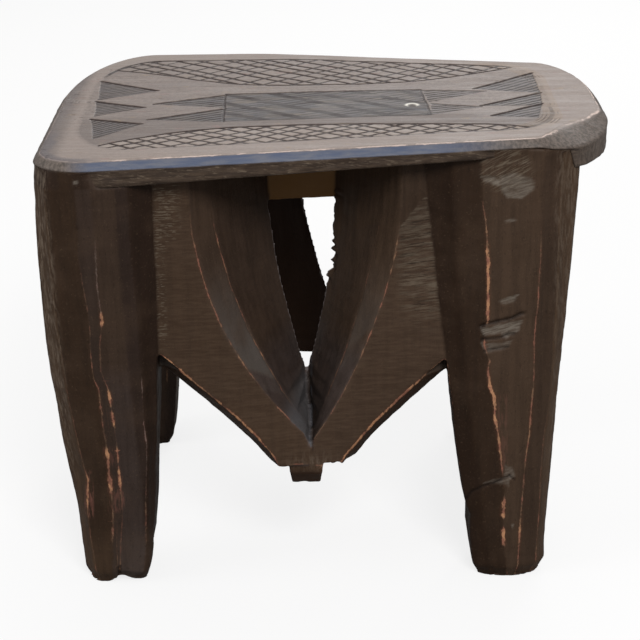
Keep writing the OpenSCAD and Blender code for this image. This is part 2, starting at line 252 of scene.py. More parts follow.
# Columns of the ring: x, y, the normal's x and y, the wear, then x and y of the top's edge.
WEAR, INNER_X, INNER_Y = 4, 5, 6
ring = densified(np.column_stack([rim[:, :4], rim_wear]))
ring[:, 2:4] /= np.hypot(ring[:, 2], ring[:, 3])[:, None]
inner = ring[:, :2] - ring[:, 2:4] * (CHAMFER_W + WORN_W * ring[:, 4:5])

# The top is a grid of columns between the lower and the upper side of its inner ring.
COLUMNS, ROWS = 560, 440
left, right = inner[:, 0].min(), inner[:, 0].max()
u = np.linspace(-1, 1, COLUMNS + 1)
u = np.sign(u) * (1 - (1 - np.abs(u)) ** 1.35) * 0.5 + u * 0.5
xs = (left + right) / 2 + (right - left) / 2 * u
xs[0], xs[-1] = left, right


def chain(upper):
    """Indices of the ring's upper or lower side, sorted by x."""
    side = ring[:, 3] > 0 if upper else ring[:, 3] < 0
    index = np.flatnonzero(side)
    index = index[np.argsort(inner[index, 0])]
    rising = np.r_[True, np.diff(inner[index, 0]) > 1e-6]
    return index[rising]


def along(index, x):
    """Every column of the ring at x on that side."""
    data = np.column_stack([ring, inner])[index]
    return np.column_stack([np.interp(x, data[:, INNER_X], data[:, k]) for k in range(data.shape[1])])


low_side, high_side = along(chain(False), xs), along(chain(True), xs)
v = np.linspace(0, 1, ROWS + 1)
top_x = np.repeat(xs[:, None], ROWS + 1, 1)
low_y, high_y = low_side[:, INNER_Y:], high_side[:, INNER_Y:]
top_y = low_y + (high_y - low_y) * v

# Carving. Every line is a groove with a half width and a depth, and cut darkens it.
P = np.column_stack([top_x.ravel(), top_y.ravel(), np.zeros(top_x.size)])
px, py = P[:, 0], P[:, 1]
wander = np.column_stack([noise(P, 22, 1), noise(P, 22, 2)]) * 0.55
wander += np.column_stack([noise(P, 7, 3), noise(P, 7, 4)]) * 0.22
qx, qy = px + wander[:, 0], py + wander[:, 1]
height, cut, tint = np.zeros((3, len(P)))


def segment_distance(x, y, a, b):
    dx, dy = b[0] - a[0], b[1] - a[1]
    t = np.clip(((x - a[0]) * dx + (y - a[1]) * dy) / (dx * dx + dy * dy), 0, 1)
    return np.hypot(x - a[0] - t * dx, y - a[1] - t * dy)


def near_box(x, y, points, margin):
    all_x, all_y = zip(*points)
    across = (x > min(all_x) - margin) & (x < max(all_x) + margin)
    return across & (y > min(all_y) - margin) & (y < max(all_y) + margin)


def polyline_distance(x, y, points, closed=False, margin=6):
    """The distance to a line through points. Past the margin it may be 1e9 instead."""
    best = np.full(len(x), 1e9)
    ends = points[1:] + points[:1] if closed else points[1:]
    for a, b in zip(points, ends):
        box = near_box(x, y, (a, b), margin)
        if box.any():
            best[box] = np.minimum(best[box], segment_distance(x[box], y[box], a, b))
    return best


def inside(x, y, poly):
    """Even-odd test of points against a polygon."""
    result = np.zeros(len(x), bool)
    for (x1, y1), (x2, y2) in zip(poly, poly[1:] + poly[:1]):
        if y1 == y2:
            continue
        cross = (y > min(y1, y2)) & (y <= max(y1, y2))
        result ^= cross & (x < (x2 - x1) * (y - y1) / (y2 - y1) + x1)
    return result


def groove(distance, half, depth, where=1.0, dark=1.0):
    """Cuts a rounded V groove where the distance is under its half width."""
    global height, cut
    shape = np.clip(1 - distance / half, 0, 1)
    height = np.minimum(height, -depth * where * shape**0.8)
    cut = np.maximum(cut, dark * where * np.clip(2.4 * shape, 0, 1))


def stripes(slope, pitch, waver, size, seed):
    """The distance to the nearest of many parallel wavering lines at a slope in degrees."""
    a = math.radians(slope)
    across = -qx * math.sin(a) + qy * math.cos(a) + waver * noise(P, size, seed)
    return np.abs((across / pitch) % 1 - 0.5) * pitch


# The carved border, and the curves that part the two latticed bands from the middle.
PANEL_CORNERS = [(26, 56), (140, 140), (42, 74), (36, 56), (36, 43)]
REAR_CURVE = [
    (-165, 97), (-154, 92), (-138, 85), (-122, 77), (-108, 69), (-94, 60), (-76, 51), (-62, 46.5),
    (-48, 43.5), (-24, 41.5), (15, 41), (40, 42), (54, 44), (74, 50), (88, 56), (100, 62), (118, 72),
    (132, 80), (150, 91),
]
FRONT_CURVE = [
    (-165, -118), (-150, -108), (-140, -100), (-130, -94), (-110, -83), (-90, -75), (-72, -70), (-50, -66.5),
    (-22, -65), (16, -65), (50, -67), (80, -68.5), (105, -70), (122, -74.5), (135, -81), (150, -91),
]
border = outline(seat_edges(38, 27, 24, 27, 6), PANEL_CORNERS, 14)
border_line = [tuple(p) for p in border[:, :2]]
border_d = polyline_distance(qx, qy, border_line, True)
in_border = inside(qx, qy, border_line)
rear_r = 0.93 * (np.interp(qx, *zip(*REAR_CURVE)) - qy)
front_r = 0.96 * (qy - np.interp(qx, *zip(*FRONT_CURVE)))
rear_band = in_border & (rear_r < 0)
front_band = in_border & (front_r < 0) & (py < 0)

fade_ends = 0.55 + 0.45 * ramp((noise(P, 30, 5) + 0.6) / 1.0)
border_strength = np.where(px > 0, 0.25, 0.06)
border_strength = np.where((py < -30) & (px > -100), 0.5, border_strength)
border_strength = np.maximum(border_strength, fade(py, 98, np.where(px > 0, 74, 56)))
groove(border_d, 1.8, 1.2, border_strength * fade_ends)
RIM_LINES = 2.6
right_rim = fade(px, 118, 104) * fade(border_d, 5, 11) * fade(py, -75, -95)
rim_lines = np.abs((border_d / RIM_LINES) % 1 - 0.5) * RIM_LINES
groove(rim_lines, 0.7, 0.35, right_rim * ramp((noise(P, (11, 11, 1), 6) + 0.1) / 0.6), 0.35)
groove(np.abs(rear_r), 1.5, 1.1, (in_border & (py > 0)) * (0.7 + 0.3 * fade_ends))
front_strength = (0.75 + 0.25 * fade_ends) * np.where(px < -60, 1.0, 0.85)
groove(np.abs(front_r), 1.7, 1.2, (in_border & (py < 0)) * front_strength)


def lattice(band, slope, spacing, half, depth, seed, offset=0.0):
    """Parallel wandering cuts across a band, at a slope in degrees."""
    a = math.radians(slope)
    along_line = qx * math.cos(a) + qy * math.sin(a)
    across = -qx * math.sin(a) + qy * math.cos(a)
    line = np.column_stack([along_line / 60, across / 200, np.zeros(len(px))])
    across = across + 1.1 * noise(line * 60, (26, 90, 1), seed)
    number = np.floor((across - offset) / spacing)
    uneven = 2 * hashed(number.astype(np.int64), 0, 7, seed) - 1
    centre = offset + (number + 0.5 + 0.16 * uneven) * spacing
    strength = 0.74 + 0.26 * hashed(number.astype(np.int64), 3, 1, seed)
    strength = strength * (0.86 + 0.14 * noise(P, (18, 18, 1), seed + 1))
    groove(np.abs(across - centre), half, depth, band * strength)


lattice(rear_band, -40, 11.6, 1.8, 1.2, 11)
lattice(rear_band, 40, 13.6, 1.5, 1.0, 12, 3.0)
lattice(front_band, -36, 9.6, 1.5, 1.0, 13, 1.0)
lattice(front_band, 34, 9.9, 1.65, 1.1, 14, 2.0)
light = np.where(front_band, 1.0, np.where(rear_band, 0.25, 0.0))

# Groups of triangles: the first seed, the sunk depth, the hatching's pitch and half width,
# the tint and the strength of the upper edge. Then each triangle: the hatching's slope, the
# low and the high end of its base, and its point.
TEETH = [
    (20, 0.6, 4.0, 1.3, 0.55, 1.0, [(27, (-161.5, 8), (-165, 61), (-121, 31)),
                                    (24, (-159.5, -36), (-162, 4), (-127, -14)),
                                    (42, (-154.5, -92), (-160.5, -43), (-125, -57))]),
    (30, 0.6, 4.9, 1.7, 0.6, 1.0, [(42, (150, 9), (150, 66), (104, 23)),
                                   (34, (147.5, -25), (150, 9), (105, -23)),
                                   (34, (141, -56), (148, -20), (110, -50))]),
    (40, 0.45, 5.0, 1.3, 0.8, 0.8, [(18, (-71, -17), (-72, 16), (-121, -6)),
                                    (30, (-71, -54), (-71, -20), (-122, -47))]),
    (50, 0.35, 5.0, 1.1, 0.55, 0.5, [(20, (70, -11), (67, 21), (112, 16)),
                                     (16, (69, -45), (71, -15), (105, -26))]),
]
MIDDLE = [(-71, -53), (69, -45), (66, 23), (-72, 19)]


def tooth(corners, slope, seed, depth, pitch, half, shade, rule):
    """A sunk triangle with cut edges, hatched by lines at a slope."""
    global height, tint
    box = near_box(qx, qy, corners, 3)
    where = np.zeros(len(px), bool)
    where[box] = inside(qx[box], qy[box], corners)
    edge, upper = np.full((2, len(px)), 9.0)
    edge[box] = polyline_distance(qx[box], qy[box], corners[1:] + corners[:1])
    upper[box] = polyline_distance(qx[box], qy[box], corners[1:])
    height = height - depth * where * ramp(edge / 1.6) * (0.75 + 0.25 * noise(P, 9, seed))
    groove(edge, 0.9, 0.8, box * 0.55, 0.8)
    groove(upper, 1.6, 1.3, box * rule)
    hatch = stripes(slope, pitch, 0.5, (14, 14, 1), seed + 3)
    groove(hatch, half, 0.9, where * (0.72 + 0.22 * noise(P, (12, 12, 1), seed + 5)), 0.9)
    tint = np.maximum(tint, where * ramp(edge / 1.2) * shade)


for seed, depth, pitch, half, shade, rule, triangles in TEETH:
    for i, (slope, *corners) in enumerate(triangles):
        tooth(corners, slope, seed + i, depth, pitch, half, shade, rule)

middle = inside(qx, qy, MIDDLE)
middle_edge = polyline_distance(qx, qy, MIDDLE, True)
height -= 0.5 * middle * ramp(middle_edge / 1.8)
groove(middle_edge, 1.0, 0.9, 0.75)
groove(segment_distance(qx, qy, MIDDLE[3], MIDDLE[0]), 0.9, 1.3, 0.9)
# Its hatching: short strokes up to the right between broad dark strokes down to the right,
# each kind with its slope, pitch, half width, depth, darkness and seed.
STROKES = [(21, 5.4, 1.5, 0.55, 0.62, 61), (-38, 19.0, 4.4, 0.7, 0.85, 62)]
for slope, pitch, half, depth, darkness, seed in STROKES:
    hatch = stripes(slope, pitch, 0.9, (20, 20, 1), seed)
    groove(hatch, half, depth, middle * (0.55 + 0.45 * noise(P, (16, 9, 1), seed + 1)), darkness)
tint = np.maximum(tint, middle * ramp(middle_edge / 1.5) * (0.8 + 0.2 * noise(P, (30, 14, 1), 63)))

# Cracks and pits of the left end.
left_margin = fade(px, -166, -156) * ~in_border
outside = np.where(in_border, 0.0, ramp(border_d / 4))
dusk = in_border * ~front_band * fade(py, -50, -34) + left_margin * fade(px, -180, -168)
crack = left_margin * (1 - ramp(np.abs(noise(P, (34, 5.5, 1), 91)) / 0.13))
crack *= ramp(noise(P, (24, 24, 1), 92) / 0.4 + 0.4)
pits = left_margin * ramp((noise(P, (2.6, 2.6, 1), 93) - 0.62) / 0.2) * ramp(noise(P, (14, 14, 1), 94) / 0.4)
height -= 0.35 * crack + 0.5 * pits
cut = np.maximum(cut, 0.32 * crack + 0.6 * pits)

# The chip in the middle, the board's soft hollows and small dents.
CHIP_X, CHIP_Y = 58.0, -19.0
chip_r = np.hypot((px - CHIP_X) / 4.0, (py - CHIP_Y) / 4.6)
height -= 1.6 * np.clip(1 - chip_r**2, 0, 1)
chip_lip = bell(np.hypot((px - CHIP_X) / 4.0, (py - CHIP_Y - 1.0) / 5.0), 1, 0.26)
chip_lip *= fade(py, CHIP_Y + 1.5, CHIP_Y - 1.0)
height += -0.30 * noise_up(P, 60, 71) - 0.10 * noise_up(P, (40, 9, 1), 72)
height -= 0.07 * np.abs(noise(P, (30, 2.6, 1), 73)) + 0.05 * noise_up(P, 3, 74)
rng = np.random.default_rng(7)
for _ in range(70):
    cx, cy = rng.uniform(-170, 165), rng.uniform(-115, 125)
    a, long, wide = rng.uniform(-0.6, 0.6), rng.uniform(1.5, 9), rng.uniform(0.4, 1.0)
    near = (np.abs(px - cx) < 12) & (np.abs(py - cy) < 12)
    dx, dy = px[near] - cx, py[near] - cy
    s, t = dx * math.cos(a) + dy * math.sin(a), -dx * math.sin(a) + dy * math.cos(a)
    height[near] -= rng.uniform(0.1, 0.5) * np.exp(-((s / long) ** 2) - (t / wide) ** 2)

# The worn edge of the top is rounded down towards the chamfer.
EDGE_DROP = 0.55
to_low = (top_y - low_y) * np.abs(low_side[:, 3:4])
to_high = (high_y - top_y) * np.abs(high_side[:, 3:4])
edge_d = np.minimum.reduce([to_low.ravel(), to_high.ravel(), px - left, right - px])
height -= EDGE_DROP * (1 - ramp(edge_d / 3.2)) ** 2
worn_corner = np.maximum(fade(px, -160, -140) * fade(py, -92, -58), 0.45 * fade(px, -178, -170))
worn_corner = fade(edge_d + 2.2 * noise(P, (9, 9, 1), 95), 4, 9) * worn_corner
height = np.minimum(height, -0.02)
top_points = np.column_stack([px, py, TOP + height])

# Rings round the top: down the chamfer, the side, the rim's round edge and its slope.
n_col, n_row = COLUMNS + 1, ROWS + 1
grid = np.arange(n_col * n_row).reshape(n_col, n_row)


def flat_end(low, high, x_inner, x_rim):
    """Ring columns up a straight end of the seat between its two corners."""
    rows = low + (high - low) * v[:, None]
    rows[:, INNER_X], rows[:, 0] = x_inner, x_rim
    return rows


left_end = flat_end(low_side[0], high_side[0], left, ring[:, 0].min())
right_end = flat_end(low_side[-1], high_side[-1], right, ring[:, 0].max())
loop = np.concatenate([grid[:, 0], grid[-1, 1:], grid[-2::-1, -1], grid[0, -2:0:-1]])
loop_data = np.vstack([low_side, right_end[1:], high_side[-2::-1], left_end[-2:0:-1]])
rim_xy, rim_n, worn = loop_data[:, :2], unit(loop_data[:, 2:4]), loop_data[:, WEAR]
inner_xy = loop_data[:, INNER_X:]
rim_under = under(rim_xy[:, 0])

leg_tops = {}
for name in LEGS:
    points, _ = node_triangles(name)
    tops = points[points[:, 2] > under(points[:, 0]) - 0.05]
    mid = tops.mean(0)
    order = np.argsort(np.arctan2(tops[:, 1] - mid[1], tops[:, 0] - mid[0]))
    leg_tops[name] = tops[order]


def covers(xy):
    """1 where a leg's face runs on up over the rim. The rim overhangs the rest of both front legs."""
    x, y = xy[:, 0], xy[:, 1]
    front = np.maximum(fade(x, -152, -142), fade(x, 104, 96))
    return np.where((y < -60) & (x < 172), front, 1.0)


def chamfer_height(wear):
    return TOP - CHAMFER_H * (1 + WORN_DROP * wear)


rim_3 = np.column_stack([rim_xy, np.zeros(len(rim_xy))])
by_leg = np.full(len(rim_xy), 99.0)
for tops in leg_tops.values():
    top_line = [tuple(p[:2]) for p in tops]
    by_leg = np.minimum(by_leg, polyline_distance(rim_xy[:, 0], rim_xy[:, 1], top_line, True))
sink = 2.0 * (1 - ramp((by_leg - 2.2) / 3.0)) * covers(rim_xy)
low_z = rim_under - END_LIP * ramp((rim_xy[:, 0] - LIP_START) / LIP_RUN)
chamfer_z = chamfer_height(worn)
rings = []


def add_ring(xy, z, kind, wobble=0.0, seed=0, size=(9, 9, 9)):
    """A ring of the seat's skin, roughened along the normals. Its kind tells how far down it is."""
    p = np.column_stack([xy, z])
    if 1.0 < kind < 2.3:
        chisel = np.clip(np.abs(rim_n[:, 0]) * 1.6 - 0.7, 0, 1) * noise_up(p, (4, 4, 22), 88)
        p[:, :2] -= rim_n * (0.9 * chisel)[:, None]
    if wobble:
        p[:, :2] -= rim_n * (wobble * noise_up(p, size, seed))[:, None]
    rings.append((p, kind))


SIDE_GRAIN = (8, 8, 3.5)
chip_noise = np.clip(noise(rim_3, (6, 6, 1), 81) - 0.45, 0, 1) * 1.2
for t in (0.12, 0.3, 0.5, 0.7, 0.86):
    xy = inner_xy + (rim_xy - inner_xy) * t
    z = TOP - EDGE_DROP + (chamfer_z - TOP + EDGE_DROP) * t
    z = z - chip_noise * (1 - t) + 0.35 * math.sin(math.pi * t)
    xy = xy - rim_n * (0.22 * noise(np.column_stack([xy, z]), (5, 5, 3), 82))[:, None] * (0.3 + t)
    add_ring(xy, z, t)
bottom_wave = 0.5 * noise(rim_3, (14, 14, 1), 83)
add_ring(rim_xy, chamfer_z + bottom_wave * 0.6, 1.0, 0.35, 84)
for t in (0.06, 0.2, 0.36, 0.52, 0.68, 0.84, 1.0):
    z = (chamfer_z - 0.6) + (low_z + RIM_ROUND - chamfer_z + 0.6) * t + (1 - t) * bottom_wave * 0.6
    add_ring(rim_xy - rim_n * (sink * ramp(t / 0.12))[:, None], z, 1.0 + t, 0.75, 85, SIDE_GRAIN)
add_ring(rim_xy - rim_n * (sink + 0.5)[:, None], low_z + 0.4, 2.2, 0.75, 85, SIDE_GRAIN)
add_ring(rim_xy - rim_n * (sink + RIM_ROUND)[:, None], low_z + 0.05, 2.4, 0.5, 86)
for t in (0.35, 0.7, 1.0):
    xy = rim_xy - rim_n * (RIM_ROUND + (LIP_W - RIM_ROUND) * t)
    add_ring(xy, low_z + (rim_under + 0.5 - low_z) * t, 2.5 + t / 2, 0.3, 87)
# The last rings shrink to the middle, inside the body piece's plate.
for t in (0.5, 0.999):
    xy = (rim_xy - rim_n * LIP_W) * (1 - t)
    add_ring(xy, under(xy[:, 0]) + 1.2, 3.0)

seat_points = [top_points]
kind = [np.zeros(len(top_points))]
quads = [np.stack([grid[:-1, :-1], grid[1:, :-1], grid[1:, 1:], grid[:-1, 1:]], -1).reshape(-1, 4)]
before, count = loop, len(top_points)
for p, k in rings:
    here = count + np.arange(len(loop))
    quads.append(np.stack([before, here, np.roll(here, -1), np.roll(before, -1)], -1))
    seat_points.append(p)
    kind.append(np.full(len(p), k))
    before, count = here, count + len(loop)
seat_points, kind = np.vstack(seat_points), np.concatenate(kind)
for axis in (0, 1):
    seat_points[:, axis] = np.clip(seat_points[:, axis], seat_low[axis] + 0.02, seat_high[axis] - 0.02)


def padded(values):
    """Values of the top's points, and 0 for the rings."""
    padding = np.zeros(len(seat_points))
    padding[: len(values)] = values
    return padding


seat = new_mesh("carved_seat", seat_points, np.vstack(quads).tolist() + [before[::-1].tolist()])
edge_attr = np.where(kind > 0, -kind * 6.0, 0)
edge_attr[: len(edge_d)] = edge_d
ring_n = np.zeros((len(seat_points), 2))
ring_n[len(top_points):] = np.tile(rim_n, (len(rings), 1))
facing = np.concatenate([-np.ones(len(top_points)), ring_n[len(top_points):, 1]])
sx, sy = seat_points[:, 0], seat_points[:, 1]
store(
    seat.data,
    # Where the chamfer faces the front; there it takes a painted bluish sky reflection.
    front=fade(ring_n[:, 1], -0.8, -0.4) * fade(sx, -148, -170) * fade(sx, 60, 130),
    light=padded(light),
    outside=padded(outside * fade(px, -168, -178)),
    dusk=padded(dusk),
    corner=padded(worn_corner),
    line=np.maximum(0.2, fade(sx, -128, -146)) * fade(sy, 20, 60),
    panel=padded(middle * ramp(middle_edge / 3)),
    ochre=padded(right_rim),
    # The seat's ends: the right end is painted lighter, as light falling on it; the left end less, as its
    # rough grey wood.
    end=fade(np.abs(ring_n[:, 0]), 0.9, 0.4) * np.where(sx > 0, 1.0, 0.4),
    whole=fade(facing, -0.9, -0.6),
    cut=padded(cut),
    tint=padded(tint),
    chip=padded(chip_lip),
    rim=kind,
    edge=edge_attr,
)

# The body: CAD nodes joined with the legs' continuations past the rim and a plate under
# the slab, then one skin round them all.
VOXEL = 1.2
all_points, all_faces, offset = [], [], 0


def add_solid(points, faces):
    global offset
    all_points.append(np.asarray(points, float))
    all_faces.extend([[i + offset for i in f] for f in faces])
    offset += len(points)


def add_prism(low, high):
    """A closed solid between two rings of the same count, counter-clockwise."""
    n = len(low)
    walls = [[i, (i + 1) % n, n + (i + 1) % n, n + i] for i in range(n)]
    add_solid(np.vstack([low, high]), walls + [list(range(n))[::-1], list(range(n, 2 * n))])


cad = {name: node_triangles(name) for name in BODY}
for name in BODY:
    add_solid(cad[name][0], cad[name][1].tolist())
for tops in leg_tops.values():
    nexts = np.roll(tops, -1, 0)
    low = np.vstack([a + (b - a) * t for a, b in zip(tops, nexts) for t in np.arange(12)[:, None] / 12])
    high = low.copy()
    low[:, 2] -= 3
    gap = np.array([np.hypot(*(ring[:, :2] - q[:2]).T) for q in high])
    rim_near = ring[gap.argmin(1)]
    over = ((high[:, :2] - rim_near[:, :2]) * rim_near[:, 2:4]).sum(1)
    flush = (over > -2.2)[:, None]
    high[:, :2] = np.where(flush, rim_near[:, :2] - rim_near[:, 2:4] * 0.35, high[:, :2])
    towards = unit(tops[:, :2].mean(0) - high[:, :2])
    high[:, :2] += towards * 4.5 * (1 - covers(high[:, :2]))[:, None]
    high[:, 2] = chamfer_height(rim_near[:, WEAR]) - 0.5
    add_prism(low, high)
plate_ring = ring[::12]
plate_xy = plate_ring[:, :2] - plate_ring[:, 2:4] * (LIP_W + 0.4)
plate_low = np.column_stack([plate_xy, under(plate_xy[:, 0])])
add_prism(plate_low, plate_low + np.array([0, 0, 5.0]))

solid_points = np.vstack(all_points)
blank = new_mesh("blank", solid_points, all_faces, False)
skin = blank.modifiers.new("skin", "REMESH")
skin.mode = "VOXEL"
skin.voxel_size = VOXEL * MM
skin.adaptivity = 0
graph = bpy.context.evaluated_depsgraph_get()
body_mesh = bpy.data.meshes.new_from_object(blank.evaluated_get(graph))
bpy.data.objects.remove(blank)
body_mesh.name = "carved_body"
body_mesh.shade_smooth()
body = add_object("carved_body", body_mesh)

B = points_of(body_mesh)
edges = np.empty(len(body_mesh.edges) * 2, np.int64)
body_mesh.edges.foreach_get("vertices", edges)
edges = edges.reshape(-1, 2)
degree = np.bincount(edges.ravel(), minlength=len(B))[:, None]


def smoothed(values, times, factor=0.5):
    values = values.astype(float)
    if values.ndim == 1:
        return smoothed(values[:, None], times, factor)[:, 0]
    for _ in range(times):
        total = np.zeros_like(values)
        for k in range(values.shape[1]):
            total[:, k] = np.bincount(edges[:, 0], values[edges[:, 1], k], len(B))
            total[:, k] += np.bincount(edges[:, 1], values[edges[:, 0], k], len(B))
        values = values + factor * (total / degree - values)
    return values


def write(points):
    body_mesh.vertices.foreach_set("co", (points * MM).ravel())
    body_mesh.update()


solid_tree = BVHTree.FromPolygons(solid_points.tolist(), all_faces)
nearest = np.array([solid_tree.find_nearest(q)[0] for q in B.tolist()])
pull = np.linalg.norm(nearest - B, axis=1) < 2.0
B = smoothed(np.where(pull[:, None], nearest, B), 1, 0.45)
write(B)
N = vertex_rows(body_mesh, "normal")
bx, by, bz = B.T
convex = np.einsum("ij,ij->i", B - smoothed(B, 14), N)

# The nearest CAD face gives each point its node, its facet's direction and a tone by that direction, which
# paints light and shade on the facets.
cad_points = np.vstack([cad[name][0] for name in BODY])
starts = np.cumsum([0] + [len(cad[name][0]) for name in BODY])
cad_tris = np.vstack([cad[name][1] + starts[i] for i, name in enumerate(BODY)])
tri_node = np.concatenate([np.full(len(cad[name][1]), i) for i, name in enumerate(BODY)])
facet_tree = BVHTree.FromPolygons(cad_points.tolist(), cad_tris.tolist())
probe = B - N * 0.1
near_tri = np.fromiter((facet_tree.find_nearest(p)[2] for p in probe.tolist()), np.int64, len(B))
node_of = tri_node[near_tri]
facet = face_normals(cad_points, cad_tris)[near_tri]
azimuth = np.arctan2(facet[:, 1], facet[:, 0])
# Painted light and shade: each facet lighter or darker by its direction.
tone = 0.42 + 0.36 * np.sin(azimuth * 4.3 + node_of * 1.9)
cool = 0.30 + 0.30 * np.sin(azimuth * 2.9 + node_of * 2.3)

# Arrises: convex edges of the CAD nodes, sampled, each with its lateral direction.
LEAST_BEND, LEAST_EDGE, SAMPLE_STEP = math.cos(math.radians(6)), 0.5, 0.7


def is_arris(name, d):
    """Whether an edge in direction d is a real one and not just the loft's own division."""
    if name in LEGS:
        return abs(d[2]) >= 0.5
    return name not in WINGS or (abs(d[1]) <= 0.45 and abs(d[2]) >= 0.35)


samples, laterals, sample_node = [], [], []
for name in LEGS + WINGS + TIPS:
    points, tris = cad[name]
    owners = {}
    for t, tri in enumerate(tris):
        for a, b in ((tri[0], tri[1]), (tri[1], tri[2]), (tri[2], tri[0])):
            owners.setdefault((min(a, b), max(a, b)), []).append(t)
    middles, n = points[tris].mean(1), face_normals(points, tris)
    for (a, b), two in owners.items():
        if len(two) != 2:
            continue
        n1, n2 = n[two[0]], n[two[1]]
        hollow = (middles[two[1]] - middles[two[0]]) @ n1 > 0
        size = np.linalg.norm(points[b] - points[a])
        if n1 @ n2 > LEAST_BEND or hollow or size < LEAST_EDGE:
            continue
        d = (points[b] - points[a]) / size
        if not is_arris(name, d):
            continue
        lateral = np.cross(d, n1 + n2)
        lateral /= np.linalg.norm(lateral)
        for t in np.arange(0.35, size, SAMPLE_STEP):
            samples.append(points[a] + d * t)
            laterals.append(lateral)
            sample_node.append(BODY.index(name))
samples, laterals, sample_node = np.array(samples), np.array(laterals), np.array(sample_node)
arris_tree = KDTree(len(samples))
for i, p in enumerate(samples.tolist()):
    arris_tree.insert(p, i)
arris_tree.balance()
found = [arris_tree.find(p) for p in B.tolist()]
near = np.fromiter((f[1] for f in found), np.int64, len(B))
arris_d = np.fromiter((f[2] for f in found), float, len(B))
arris_side = np.einsum("ij,ij->i", B - samples[near], laterals[near])


def is_node(*names):
    return np.isin(node_of, [BODY.index(name) for name in names])


RISE, SIDESTEP, FRONT_Y = 5, 4, -60


def arris_line(name, x, heights):
    """The x of a leg's front arris at some heights, followed up through the CAD from near x."""
    own = samples[(sample_node == BODY.index(name)) & (samples[:, 1] < FRONT_Y)]
    levels = np.arange(heights[0], heights[-1] + RISE, RISE)
    line = []
    for z in levels:
        row = own[np.abs(own[:, 2] - z) < SAMPLE_STEP, 0]
        if len(row) and np.abs(row - x).min() < SIDESTEP:
            x = row[np.abs(row - x).argmin()]
        line.append(x)
    return np.interp(heights, levels, line)


# Which arrises are worn, and how much.
LOWER_EDGES = [(-111, 170), (-82, 146), (-38, 96)], [(7, 92), (37, 125), (77, 155)]
outermost_front = by < FRONT_Y
front = (facet[:, 1] < -0.15) & (by < -40)
left_leg, right_leg = is_node("leg_front_left"), is_node("leg_front_right")
left_wing, right_wing = is_node("wing_front_left"), is_node("wing_front_right")
legs, wings, tips, core = is_node(*LEGS), is_node(*WINGS), is_node(*TIPS), is_node("core_block")
leg_front, wing_front = (left_leg | right_leg) & front, (left_wing | right_wing) & front
wear = 0.42 + 0.16 * wings - 0.16 * fade(bz, 220, 130) * legs
wear = np.clip(wear - 0.5 + 1.1 * noise(B, (26, 26, 22), 110) + 0.5 * noise(B, (7, 7, 6), 111), 0, 1) * 0.7
along_wing = 0.40 + 0.26 * noise(B, (24, 24, 20), 112) + 0.22 * noise(B, (6, 6, 5), 113)
for line in LOWER_EDGES:
    along_wing = along_wing + 0.6 * (1 - ramp(polyline_distance(bx, bz, line) / 7))
wear = np.where(wing_front, np.clip(along_wing, 0.15, 0.95), wear)
wear *= 1 - 0.8 * ramp((bz - 250) / 24)

